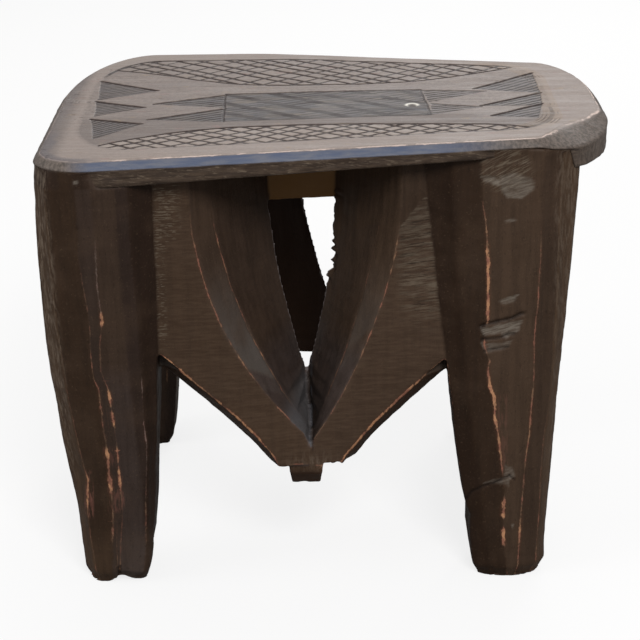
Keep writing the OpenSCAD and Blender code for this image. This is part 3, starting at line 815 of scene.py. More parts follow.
# The worn arrises of the front legs: the leg, the x near which the CAD's arris starts and
# the heights it is followed through, then its x as seen in the photograph at some heights,
# and the wear up its length. The readings' zero lies OFFSET to the right of the CAD's.
OFFSET = 0.35
ARRISES = [
    (("leg_front_left", -170, [36, 92, 146, 219]),
     [(3, -168), (32, -169), (63, -170), (84, -168), (95, -170), (110, -172), (141, -176), (219, -180)],
     [(0, 0.5), (20, 0.4), (50, 0.3), (58, 0.7), (66, 1), (84, 0.9), (92, 0.45), (110, 0.35), (140, 0.3),
      (174, 0.2), (200, 0)]),
    (("leg_front_left", -155, [37, 93, 147, 276]),
     [(38, -154), (76, -153), (109, -153), (136, -154), (155, -155), (162, -157), (195, -157), (213, -158),
      (250, -161)],
     [(0, 0), (33, 0.1), (38, 0.6), (51, 0.3), (58, 0.45), (66, 0.2), (76, 0.7), (84, 1), (92, 0.5),
      (98, 0.6), (105, 1), (112, 0.3), (126, 0.4), (140, 0.6), (155, 0.45), (190, 0.3), (213, 0.25),
      (234, 0.25), (262, 0)]),
    (("leg_front_left", -149, [37, 93, 276]),
     [(7, -149), (34, -148), (60, -146), (114, -146), (134, -147), (146, -148), (156, -149), (168, -152),
      (190, -151), (204, -149), (227, -150), (258, -149)],
     [(0, 0.35), (12, 0.5), (30, 0.35), (48, 0.2), (66, 0.3), (76, 0.5), (82, 1), (92, 1), (97, 0.2),
      (102, 1), (108, 1), (112, 0.2), (124, 0.25), (128, 1), (136, 0.8), (140, 0.2), (145, 1), (151, 0.9),
      (156, 0.3), (190, 0.3), (199, 0.25), (203, 1), (209, 0.9), (213, 0.3), (240, 0.3), (256, 0.2),
      (270, 0)]),
    (("leg_front_left", -136, [35, 91, 145, 274]),
     [(40, -130), (64, -129), (88, -127), (110, -126), (127, -127), (152, -126), (200, -127), (274, -128)],
     [(0, 0.1), (30, 0.15), (38, 0.4), (50, 0.4), (62, 0.4), (68, 0.2), (75, 0.3), (88, 0.25), (95, 0.2),
      (105, 0.35), (118, 0.4), (127, 0.35), (132, 0.15), (148, 0.2), (158, 0.35), (165, 0)]),
    (("leg_front_right", 106, [30, 82, 134, 205, 260]),
     [(29.5, 105.8), (82.5, 99), (134, 93), (205, 86), (260, 82)],
     [(0, 0)]),
    (("leg_front_right", 115, [30, 83, 135, 206, 261]),
     [(6, 119), (47, 117.5), (66, 118), (83, 116), (107, 113), (122, 110), (137, 109), (144, 106), (156, 105),
      (163, 106), (174, 102), (190, 104), (234, 104), (256, 102), (271, 100)],
     [(0, 0.5), (12, 0.1), (24, 0.15), (27, 1), (38, 1), (41, 0.1), (45, 0.15), (48, 1), (58, 1), (62, 0.3),
      (66, 0.1), (80, 0.2), (84, 0.6), (92, 0.65), (105, 0.8), (125, 0.85), (144, 1), (154, 0.6), (162, 0.5),
      (166, 0.1), (171, 0.7), (176, 0.8), (178, 0.1), (186, 0.15), (190, 0.75), (213, 0.85), (228, 1),
      (240, 1), (248, 0.7), (262, 0.45), (271, 0.3), (276, 0)]),
    (("leg_front_right", 132, [29, 133, 205, 260]),
     [(5, 128), (37, 129), (75, 131), (92, 132), (109, 134), (131, 135), (145, 136), (179, 136), (204, 138),
      (264, 138)],
     [(0, 0.6), (15, 0.45), (28, 0.75), (44, 0.75), (50, 0.4), (92, 0.5), (118, 0.65), (132, 0.5), (175, 0.4),
      (235, 0.4), (250, 0.25), (258, 0)]),
    (("leg_front_right", 143, [26, 79, 130, 202, 257]),
     [(11, 142), (57, 143), (88, 144), (103, 145), (130, 147.8), (201, 150.5)],
     [(0, 0.3), (15, 0.4), (60, 0.4), (88, 0.35), (103, 0.25), (160, 0)]),
]
slide = np.zeros(len(B))
wear[leg_front] = 0.0
for (name, x, heights), seen, amounts in ARRISES:
    here = np.interp(bz, heights, arris_line(name, x, heights))
    there = np.interp(bz, *zip(*seen)) - OFFSET
    slide += (there - here) * bell(bx, here, 6.5) * (N[:, 1] < -0.2) * outermost_front
    close = leg_front & (np.abs(bx - here) < 3.5)
    wear[close] = np.interp(bz[close], *zip(*amounts))
wear[leg_front] *= 0.9 + 0.2 * noise(B[leg_front], (5, 5, 6), 114)
wear = np.where(leg_front, wear, wear * ramp((convex - 0.02) / 0.08))
waist_edge = (np.abs(np.abs(by) - 50) < 3.5) & wings
wear = np.where(waist_edge & (by < 0), np.maximum(wear, 0.4 * fade(bz, 225, 255)), wear)
cold = leg_front * np.maximum((np.abs(bx + 148) < 4) * fade(bz, 215, 209), np.abs(bx + 129) < 4) * 0.45
pale = np.maximum(cold, waist_edge)

# How far the outlines move out: the node, the side of x, the reach in from the edge, and
# the move at some heights.
NUDGES = [
    ("leg_front_left", -1, 5.5, [
        (0, -0.5), (15, 0.2), (40, 0.4), (60, 0.9), (78, 0.5), (87, -0.3), (105, -1.3), (114, -1.4),
        (140, -0.9), (158, -1.5), (193, -2.2), (211, -2.7), (228, -3.6), (240, -4.3), (248, -3.8),
        (257, -2.4), (270, -1.3), (282, 0)]),
    ("leg_front_left", 1, 5.5, [
        (0, -3.2), (6, -2.2), (12, -0.4), (18, 0.8), (28, 1.5), (60, 1.0), (75, 0.5), (90, 0)]),
    ("leg_front_right", 1, 5.5, [
        (0, 1.2), (10, 1.4), (20, 0.6), (60, 0.2), (170, 0.3), (205, 1.2), (235, 1.7), (290, 1.5)]),
    ("leg_front_right", -1, 5.5, [
        (0, -2.0), (10, -1.8), (28, -1.5), (38, -0.2), (46, 1.2), (53, -0.4), (64, -1.3), (95, -1.2),
        (150, -0.6), (170, 0)]),
    ("wing_rear_left", 1, 14, [(105, 0), (130, -3.8), (270, -3.8), (285, 0)]),
]
STEP = 4
level = np.round(bz / STEP).astype(int)


def outermost(mask, side):
    """How far a part reaches out along x on a side, at each level of height."""
    far = np.full(level.max() + 1, -1e9)
    np.maximum.at(far, level[mask], bx[mask] * side)
    return far


outer = np.zeros(len(B))
for name, side, width, moves in NUDGES:
    node = is_node(name)
    far = outermost(node, side)
    known = np.flatnonzero(far > -1e8)
    gap = np.where(node, np.interp(bz / STEP, known, far[known]) - bx * side, 99.0)
    outer += np.interp(bz, *zip(*moves)) * bell(gap, 0, width)

# Painted light and shade of the front facets, as tones by facet direction: (azimuth in degrees, tone,
# coolness).
FACET_SHADING = {
    "leg_front_left": [
        (-144, 0.80, 0.0), (-101, 0.24, 0.0), (-90, 0.36, 0.45), (-81, 0.46, 0.25), (-51, 0.10, 0.5),
        (0, 0.1, 0.4)],
    "leg_front_right": [
        (180, 0.05, 0.0), (-110, 0.0, 0.0), (-97, 0.14, 0.0), (-87, 0.74, 0.1), (-68, 0.48, 0.15),
        (-37, 1.0, 0.0), (0, 0.9, 0.0)],
    "wing_front_left": [(-87, 0.66, 0.0), (-46, 0.62, 0.2), (-24, 0.50, 0.3)],
    "wing_front_right": [(-87, 0.72, 0.1), (-139, 1.0, 0.1), (-152, 0.85, 0.2)],
}
for name, table in FACET_SHADING.items():
    index = np.flatnonzero(is_node(name) & front)
    angles = np.radians([row[0] for row in table])
    gap = np.abs((azimuth[index][:, None] - angles + math.pi) % (2 * math.pi) - math.pi)
    rows = np.array(table)[gap.argmin(1)]
    tone[index], cool[index] = rows[:, 1], rows[:, 2]
inner_facet = left_leg & (np.abs(azimuth + math.radians(81)) < 0.1)
cool = np.maximum(cool, 0.7 * fade(bz, 150, 190) * inner_facet)
flanks = (right_leg & (facet[:, 0] < -0.5)) | (left_leg & (facet[:, 0] > 0.5))
# Painted shade: the legs' outer flanks darkest, the left leg's inner front facet dark and cool.
for where, new_tone, new_cool in (
    (flanks, 0.0, 0.2),
    (inner_facet & front & (bx > -136), 0.14, 0.5),
):
    tone[where], cool[where] = new_tone, new_cool
rough = left_leg * fade(bx, -181, -176) * fade(bz, 130, 60) * (0.6 + 0.4 * noise(B, (4, 4, 12), 115))
rough += 0.5 * right_leg * fade(bx, 152, 147) * outermost_front * (0.7 + 0.3 * noise(B, (4, 4, 9), 116))
# Painted light: lighter tones low on the left leg's front, on the rear left leg, the front tip's face and low
# on the left wing's face.
tone += 0.45 * fade(bz, 20, 55) * left_leg * front + 0.3 * is_node("leg_rear_left")
tip_face = is_node("pendant_front") & (facet[:, 1] < -0.9)
tone[tip_face], cool[tip_face] = 1.0, 0.1
rough += 0.45 * bell(bx, -16, 16) * bell(bz, 86, 9) * (facet[:, 1] < -0.9) * outermost_front
low_mouth = fade(bz, 118, 150) * (left_wing | right_wing)
tone = tone + 0.25 * fade(bz, 100, 150) * left_wing * (facet[:, 1] < -0.95)
cool = np.maximum(cool, 0.8 * fade(bz, 150, 190) * wing_front * (facet[:, 1] > -0.6))
tone = smoothed(tone, 1)

# Displacement, in and out along the normals.
front_face = facet[:, 1] * np.sign(by) > 0.97
wing_face = front_face & wings
wave = 0.30 * noise(B, (26, 26, 60), 101) + 0.22 * noise(B, (9, 9, 30), 102)
wave += 0.10 * noise(B, (3.2, 3.2, 14), 103)
tool = 0.12 * noise(B, (24, 24, 4.2), 104) + 0.12 * noise(B, (9, 9, 2.4), 105)
move = np.where(wing_face, 0.35 * wave + tool, wave + 0.14 * noise(B, (12, 12, 4), 106))
arris_near = bell(arris_d, 0, 1.6) * ramp((convex - 0.05) / 0.12)
move -= arris_near * (0.35 + 1.1 * np.clip(noise(B, (7, 7, 6), 109) - 0.25, 0, 1))
flow = np.column_stack([noise(B, (14, 14, 26), 107), noise(B, (14, 14, 26), 108), 0 * bx])
grey = np.zeros(len(B))
# Painted shade: hollows darkened by how concave they are, less at the bottom of the mouth.
dark = (0.8 - 0.6 * low_mouth) * ramp((-convex - 0.15) / 0.9)

# Broken spots of the front right leg, as polygons of (x, z): the torn patch under the rim,
# the chopped notch, small scars and the crack above the foot. The last is the left leg's.
# Each has a depth, a shade, a seed and the size of its fibres.
TORN_FIBRES, CRUMBS = (7, 7, 2.2), (6, 6, 6)
CHIPS = [
    (0.7, 0.75, 202, TORN_FIBRES, [(110, 290), (118, 292), (128, 288), (129, 280), (124, 275), (115, 275),
                                   (112, 281)]),
    (0.5, 0.9, 203, TORN_FIBRES, [(100, 290), (105, 291), (112, 286), (110, 283), (104, 286)]),
    (1.4, 1.0, 204, TORN_FIBRES, [(101, 185), (113, 188), (126, 191), (124, 184), (117, 178), (113, 182),
                                  (106, 180)]),
    (0.9, 0.6, 208, TORN_FIBRES, [(103, 176), (112, 175), (120, 177), (118, 172), (106, 169)]),
    (0.8, 1.0, 205, TORN_FIBRES, [(112, 205), (119, 208), (124, 208), (121, 204), (115, 203)]),
    (0.5, 1.0, 206, TORN_FIBRES, [(113, 260), (117, 261.5), (120, 260), (117, 258.5)]),
    (0.9, 0.55, 207, CRUMBS, [(112, 77), (114, 86), (121, 84), (124, 78), (120, 75)]),
    (0.5, 0.6, 212, CRUMBS, [(103, 72), (110, 77), (119, 77), (118, 70), (111, 73)]),
    (0.3, 0.7, 211, TORN_FIBRES, [(122, 42), (126, 42), (125, 38), (123, 39)]),
    (0.3, 1.0, 209, TORN_FIBRES, [(-156, 302), (-154, 302), (-154, 300), (-156, 300)]),
]
# Cuts of the front legs between two points of (x, z): half width, depth and seed.
CRACK = [(89, 53), (91.5, 58), (96, 65), (105.5, 71), (112, 76), (119, 78), (124, 76)]
GASHES = [
    ((101, 187), (126, 195), 1.7, 2.0, 211),
    ((103, 178), (122, 181), 1.5, 1.1, 212),
    ((105, 170), (118, 172), 1.4, 0.9, 213),
    *((a, b, 1.3, 0.9, 215) for a, b in zip(CRACK, CRACK[1:])),
    ((-152, 0), (-151, 14), 1.6, 2.4, 216),
]
# Reddish patches of the front legs: x from and to, height from and to, and strength.
BLUSHES = [
    (-173.5, -167, 57, 88, 1.0), (-156, -152, 62, 76, 0.6), (-157, -151.5, 98, 108, 0.4),
    (-150, -147, 62, 74, 0.7), (-151, -147, 78, 86, 0.5), (111, 117, 86, 135, 0.3),
]

torn = 1 - ramp((np.hypot((bx - 114) / 15, (bz - 294) / 15) - 0.75) / 0.4)
torn = torn * (N[:, 1] < -0.4) * outermost_front
move = move - 0.35 * torn * noise(B, (9, 9, 2.2), 201)
for depth, shade, seed, size, shape in CHIPS:
    index = np.flatnonzero(near_box(bx, bz, shape, 3) & (N[:, 1] < -0.45) & outermost_front)
    p = B[index]
    x, z = (p[:, axis] + 0.9 * noise(p, (3, 3, 3), seed + i) for i, axis in enumerate((0, 2)))
    d = polyline_distance(x, z, shape, True)
    mask = ramp(0.5 + np.where(inside(x, z, shape), d, -d) / 1.6)
    move[index] -= mask * depth * noise_up(p, size, seed + 2)
    grey[index] = np.maximum(grey[index], mask * shade)
# The gashes are cut in, and painted dark inside as shade.
for a, b, half, depth, seed in GASHES:
    d = segment_distance(bx, bz + 1.2 * noise(B, (7, 7, 7), seed), a, b)
    mask = np.clip(1 - d / half, 0, 1) * (N[:, 1] < -0.3) * outermost_front
    move = move - depth * mask
    dark = np.maximum(dark, mask)
blush = np.zeros(len(B))
for x0, x1, z0, z1, share in BLUSHES:
    spread = fade(bx, x0, x0 - 1.5) * fade(bx, x1, x1 + 1.5) * fade(bz, z0, z0 - 5) * fade(bz, z1, z1 + 5)
    blush = np.maximum(blush, share * spread * leg_front)

# Torn ticks on the wings' faces where they meet the legs, wider on the right wings.
ticks, wavy = np.zeros((2, len(B)))
for name in WINGS:
    node = is_node(name) & front_face
    side = -1 if name.endswith("left") else 1
    inward = np.where(node, outermost(node, side)[level] - bx * side, 99.0)
    here = node * fade(bz, 186, 172)
    if side < 0:
        half = 3.5 + 7.0 * fade(bz, 262, 246)
        ticks = np.maximum(ticks, here * (1 - ramp((inward - half) / half)))
    else:
        wavy = np.maximum(wavy, here * (1 - ramp((inward - 16) / 14)) * fade(bz, 205, 175))
move = move + wavy * 0.35 * noise(B, (9, 9, 2.6), 221)

# The ragged waist edge of the front right wing and the feet's worn ends.
ragged = right_wing * fade(np.abs(by + 50), 4, 8) * fade(np.abs(bz - 231), 28, 38) * (bx < 22)
jags = np.clip(1.5 * noise(B, (40, 40, 9), 231) + 0.9 * noise(B, (40, 40, 2.8), 233), 0, 1)
jags = ragged * (3.6 * jags - 1.3 + 0.5 * noise(B, (40, 40, 1.6), 234))
foot = 1 - ramp(bz / 12)
side_face = 1 - ramp((-N[:, 2] - 0.3) / 0.4)
rounding = 0.6 + np.where(right_leg, 1.1, 2.2) * ramp((convex - 0.1) / 0.5)
move = move - foot * side_face * rounding * (0.8 + 0.4 * noise(B, (8, 8, 5), 232))

# The moves, but not of the plate's top, which lies hidden in the seat. Then the bottom of
# the front mouth, the torn lower edge of the front right wing and the left foot's notch.
keep = np.where((bz > under(bx) + 1.0) & (N[:, 2] > 0.5), 0.0, 1.0)
shift = flow * np.array([0.55, 0.55, 0.0])
B2 = B + shift * (1 - foot)[:, None] * keep[:, None] + N * ((move - 0.25) * keep)[:, None]
B2[:, 0] += (slide + jags + smoothed(outer, 2)) * keep
fork = bell(bx, -14, 9) * fade(by, -62, -68) * fade(by, -40, -34) * fade(bz, 118, 106) * fade(bz, 132, 150)
B2[:, 2] += 3.0 * fork
torn_edge = right_wing * fade(bz, 100, 104) * fade(bx, 24, 28) * fade(N[:, 2], -0.4, -0.1)
B2[:, 2] += 1.8 * torn_edge * noise(B, (3.2, 40, 40), 235)
notch = bell(bx, -149, 6.5) * fade(by, -118, -108) * (1 - ramp(bz / 16))
B2[:, 2] += 5.0 * notch
cad_low, cad_high = (np.array(c) / MM for c in cad_box)
B2 = np.clip(B2, cad_low + 0.03, cad_high - 0.03)
write(B2)

# Painted sky reflection: a bluish grey sheen on the front wings' angled bands above the mouth.
blue = (left_wing | right_wing) * fade(facet[:, 1], -0.90, -0.97) * fade(facet[:, 1], -0.62, -0.5)
blue = blue * fade(bz, 165, 245) * (0.6 + 0.4 * left_wing)
# Painted sheen: bluish on the left wing's inner facets near the bottom of the mouth.
painted_vee_sheen = left_wing * fade(bz, 118, 140) * fade(bx, -24, -38) * (facet[:, 1] > -0.9)
# Painted shade: the inside between the wings and the rear wings' inward faces are painted near black.
tunnel_shade = fade(np.abs(by), 44, 54) * fade(np.abs(bx + 12), 60, 95) * ~core
rear_shade = is_node("wing_rear_left", "wing_rear_right") * fade(facet[:, 1], -0.5, -0.2)
# Painted shade under the slab, on the top of the front right wing.
dark = np.maximum(dark, 0.30 * right_wing * fade(bz, 268, 226))
# Painted highlight: a pale bluish line along the bottom of the front mouth's crease.
seam = 1 - ramp((np.abs(bx + 15.2 + 0.6 * noise(B, (6, 6, 6), 117)) - 0.3) / 0.8)
seam = seam * low_mouth * (N[:, 2] > 0.1) * fade(by, -50, -44) * fade(bz, 94, 90)
store(
    body_mesh,
    seam=np.maximum(seam, 0.5 * painted_vee_sheen),
    rough=rough,
    blush=blush,
    arris=np.clip(arris_side, -6, 6),
    arris_d=np.clip(arris_d, 0, 12),
    wear=wear,
    pale=smoothed(pale, 1),
    tone=tone,
    cool=smoothed(cool, 1),
    grey=grey,
    torn=torn,
    ticks=ticks,
    wavy=wavy,
    dark=dark,
    wingface=smoothed(wing_face, 2),
    blue=smoothed(np.maximum(blue, painted_vee_sheen), 3),
    inner=smoothed(np.maximum(tunnel_shade, rear_shade), 3),
    core=smoothed(core, 1),
    # Painted shade: downward faces of the wings and tips, and the tips at half share, turn a dark warm brown.
    under=smoothed(np.maximum(fade(facet[:, 2], -0.45, -0.2) * (wings | tips), 0.5 * tips), 1),
)


def srgb(r, g, b):
    """A colour as seen on a screen, from 0 to 255, as the linear one that nodes take."""
    c = np.array([r, g, b]) / 255
    c = np.where(c <= 0.04045, c / 12.92, ((c + 0.055) / 1.055) ** 2.4)
    return (*c.tolist(), 1.0)


class Nodes:
    """A short way to write a material."""

    def __init__(self, name, specular):
        self.material = bpy.data.materials.new(name)
        self.material.use_nodes = True
        self.tree = self.material.node_tree
        self.tree.nodes.clear()
        self.bsdf = self.new("ShaderNodeBsdfPrincipled")
        self.bsdf.inputs["Specular IOR Level"].default_value = specular
        self.link(self.bsdf.outputs[0], self.new("ShaderNodeOutputMaterial").inputs[0])
        self.coords = self.new("ShaderNodeTexCoord").outputs["Object"]

    def new(self, kind):
        return self.tree.nodes.new(kind)

    def link(self, a, b):
        self.tree.links.new(a, b)

    def put(self, value, socket):
        """Feeds a socket with another one, a colour from 0 to 255 or a number."""
        if isinstance(value, bpy.types.NodeSocket):
            self.link(value, socket)
        else:
            socket.default_value = srgb(*value) if isinstance(value, tuple) else value

    def math(self, kind, a, b=0.0):
        n = self.new("ShaderNodeMath")
        n.operation = kind
        self.put(a, n.inputs[0])
        self.put(b, n.inputs[1])
        return n.outputs[0]

    def plus(self, a, b):
        return self.math("ADD", a, b)

    def minus(self, a, b):
        return self.math("SUBTRACT", a, b)

    def times(self, *values):
        product = values[0]
        for value in values[1:]:
            product = self.math("MULTIPLY", product, value)
        return product

    def attr(self, name):
        n = self.new("ShaderNodeAttribute")
        n.attribute_name = name
        return n.outputs["Fac"]

    def ramp(self, value, low, high, to_low=0.0, to_high=1.0):
        n = self.new("ShaderNodeMapRange")
        n.interpolation_type = "SMOOTHSTEP"
        self.put(value, n.inputs["Value"])
        n.inputs["From Min"].default_value, n.inputs["From Max"].default_value = low, high
        n.inputs["To Min"].default_value, n.inputs["To Max"].default_value = to_low, to_high
        return n.outputs["Result"]

    def noise(self, size, detail, rough, seed, tilt=0.0):
        """Noise with features of a size in mm, a number or one for each axis, turned about y."""
        source = self.coords
        if tilt:
            turn = self.new("ShaderNodeMapping")
            turn.inputs["Rotation"].default_value = (0, math.radians(tilt), 0)
            self.link(source, turn.inputs[0])
            source = turn.outputs[0]
        m = self.new("ShaderNodeMapping")
        self.link(source, m.inputs[0])
        m.inputs["Scale"].default_value = (1 / (np.broadcast_to(np.asarray(size, float), 3) * MM)).tolist()
        m.inputs["Location"].default_value = (seed, seed * 1.7, seed * 0.6)
        n = self.new("ShaderNodeTexNoise")
        n.inputs["Scale"].default_value = 1.0
        n.inputs["Detail"].default_value = detail
        n.inputs["Roughness"].default_value = rough
        self.link(m.outputs[0], n.inputs["Vector"])
        return n.outputs["Fac"]

    def patches(self, size, detail, rough, seed, low, high, to_low=0.0, to_high=1.0, tilt=0.0):
        """Noise that goes from one value at its low to another at its high."""
        return self.ramp(self.noise(size, detail, rough, seed, tilt), low, high, to_low, to_high)

    def mix(self, factor, a, b):
        n = self.new("ShaderNodeMix")
        n.data_type = "RGBA"
        self.put(factor, n.inputs[0])
        self.put(a, n.inputs[6])
        self.put(b, n.inputs[7])
        return n.outputs[2]

    def layered(self, base, layers):
        """Colours laid over the base, each with its share, attribute and patches."""
        for colour, share, attribute, spots in layers:
            masks = [self.attr(attribute)] if attribute else []
            masks += [self.patches(*spots)] if spots else []
            base = self.mix(self.times(*masks, share), base, colour)
        return base

    def bump(self, height, strength):
        n = self.new("ShaderNodeBump")
        n.inputs["Strength"].default_value = strength
        n.inputs["Distance"].default_value = 0.5 * MM
        self.link(height, n.inputs["Height"])
        self.link(n.outputs[0], self.bsdf.inputs["Normal"])


# Layers of colour: the colour, its share, the attribute that places it, and its patches as
# the noise's size, detail, roughness and seed, and from where to where it rises.
FIBRE = (118, 107, 92)
STAIN_LAYERS = [
    ((31, 22, 16), 0.32, None, ((5, 5, 90), 5, 0.6, 3.0, 0.38, 0.66)),  # streaks along the grain
    ((72, 56, 44), 0.28, None, (38, 4, 0.6, 9.0, 0.45, 0.7)),  # clouds
    ((92, 74, 58), 0.28, None, (1.5, 2, 0.6, 5.0, 0.60, 0.74)),  # specks
    ((22, 15, 11), 0.35, None, ((1.3, 1.3, 3.0), 2, 0.6, 5.5, 0.60, 0.72)),  # pits
]
BODY_LAYERS = [
    # A painted bluish sky reflection on the front wings' bands.
    ((80, 75, 71), 0.7, "blue", ((20, 20, 30), 3, 0.6, 1.5, 0.3, 0.6, 0.5, 1.0)),
    ((122, 108, 94), 0.8, "rough", ((2.0, 2.0, 9), 4, 0.65, 27.0, 0.42, 0.64)),
    # A painted highlight along the mouth's crease, and the painted sheen beside it.
    ((104, 108, 116), 0.45, "seam", None),
    # Painted shade of the undersides.
    ((50, 33, 20), 0.8, "under", None),
    # Painted shade: near black inside the body.
    ((31, 17, 7), 0.95, "inner", None),
    ((108, 78, 44), 0.95, "core", None),
    (FIBRE, 0.42, "ticks", ((4.5, 4.5, 0.8), 2, 0.5, 21.0, 0.54, 0.62)),
    (FIBRE, 0.42, "wavy", ((15, 15, 1.3), 5, 0.7, 22.0, 0.44, 0.64, 0.0, 1.0, 5)),
    ((26, 19, 14), 0.6, "wavy", ((16, 16, 1.4), 4, 0.65, 26.0, 0.54, 0.66, 0.0, 1.0, 5)),
    (FIBRE, 0.5, "torn", ((11, 11, 1.1), 4, 0.65, 23.0, 0.46, 0.64, 0.0, 1.0, 28)),
    ((122, 114, 104), 0.72, "grey", ((9, 9, 1.1), 4, 0.65, 24.0, 0.36, 0.62, 0.35, 1.0, 16)),
    # Painted shade: near black in hollows, cuts and under the slab.
    ((18, 12, 9), 0.8, "dark", None),
    ((116, 76, 66), 0.7, "blush", ((1.6, 1.6, 12), 4, 0.6, 36.0, 0.45, 0.60)),
]
FACE_LAYERS = [
    ((150, 137, 128), 0.5, None, ((3.4, 2.2, 3), 4, 0.7, 19.0, 0.40, 0.62)),
    ((96, 86, 81), 0.5, "dusk", None),
    ((114, 103, 98), 0.45, None, (34, 4, 0.55, 2.0, 0.42, 0.68)),
    ((156, 143, 133), 0.6, "light", None),
    ((92, 82, 76), 0.30, None, ((7, 3.2, 9), 5, 0.75, 41.0, 0.52, 0.64)),
    ((154, 140, 131), 0.45, "outside", None),
    ((140, 116, 90), 0.3, "ochre", None),
    ((148, 127, 98), 0.40, None, ((12, 7, 20), 3, 0.6, 5.0, 0.62, 0.75)),
    ((138, 106, 100), 0.42, None, ((16, 6, 20), 3, 0.6, 8.0, 0.62, 0.74)),
    ((76, 66, 61), 0.5, None, (1.1, 2, 0.6, 3.0, 0.62, 0.75)),
]
PANEL_LAYERS = [
    ((134, 122, 106), 0.5, "panel", ((13, 5, 20), 3, 0.6, 31.0, 0.55, 0.68)),
    ((52, 52, 58), 0.35, "panel", ((26, 8, 20), 3, 0.6, 33.0, 0.5, 0.66)),
]
SIDE_LAYERS = [
    ((112, 98, 82), 0.55, None, ((7, 7, 1.1), 4, 0.65, 18.0, 0.55, 0.66, 0.0, 1.0, -8)),
    ((33, 25, 20), 0.4, None, ((40, 40, 4), 3, 0.6, 14.0, 0.5, 0.7)),
]


def dark_wood():
    """The stained dark wood: brown-black, with painted light and shade by facet, and its worn arrises."""
    m = Nodes("stained wood", 0.11)
    cool = m.attr("cool")
    # Painted light and shade: a shaded and a lit copy of the stain, mixed by each facet's tone.
    painted_shaded = m.mix(cool, (41, 28, 19), (42, 32, 30))
    painted_lit = m.mix(cool, (74, 57, 43), (72, 63, 60))
    colour = m.layered(m.mix(m.attr("tone"), painted_shaded, painted_lit), STAIN_LAYERS)
    tool = m.patches((12, 12, 1.5), 4, 0.65, 2.0, 0.34, 0.70)
    face_colour = m.mix(tool, (62, 47, 37), (80, 64, 51))
    colour = m.mix(m.times(m.attr("wingface"), 0.5), colour, face_colour)
    colour = m.layered(colour, BODY_LAYERS)

    # A thin worn line along each arris, wider and lighter where more is rubbed off.
    amount = m.times(m.attr("wear"), m.patches((3, 3, 8), 3, 0.65, 34.0, 0.38, 0.54, 0.62, 1.08))
    wobble = m.times(m.noise((2.0, 2.0, 3.0), 5, 0.8, 7.0), 2.8)
    side = m.plus(m.math("ABSOLUTE", m.attr("arris")), m.minus(wobble, 1.4))
    here = m.ramp(m.attr("arris_d"), 2.0, 3.4, 1.0, 0.0)
    width = m.plus(m.times(amount, amount), 0.26)
    width = m.plus(width, m.ramp(m.attr("pale"), 0.5, 1.0, 0.0, 0.5))
    line = m.times(m.ramp(m.minus(side, width), -0.35, 0.25, 1.0, 0.0), here, m.ramp(amount, 0.04, 0.5))
    halo = m.times(m.ramp(m.minus(side, width), 0.1, 1.6, 1.0, 0.0), here, m.ramp(amount, 0.1, 0.8))
    rust = m.mix(m.ramp(amount, 0.3, 1.0), (104, 82, 65), (180, 132, 98))
    rust = m.mix(m.patches(7, 3, 0.6, 4.0, 0.44, 0.60, 0.0, 0.85), rust, (132, 86, 72))
    rust = m.mix(m.attr("pale"), rust, (124, 116, 114))
    colour = m.mix(m.times(halo, 0.4), colour, (84, 54, 40))
    colour = m.mix(m.times(line, 0.9), colour, rust)
    m.put(colour, m.bsdf.inputs["Base Color"])
    gloss = m.patches(14, 4, 0.6, 6.0, 0.3, 0.7, 0.42, 0.60)
    m.put(m.plus(gloss, m.times(line, 0.2)), m.bsdf.inputs["Roughness"])
    grain, tooling = m.noise((1.2, 1.2, 16), 4, 0.6, 8.0), m.noise((8, 8, 1.6), 3, 0.6, 2.5)
    m.bump(m.plus(grain, m.times(tooling, 0.6)), 0.45)
    return m.material


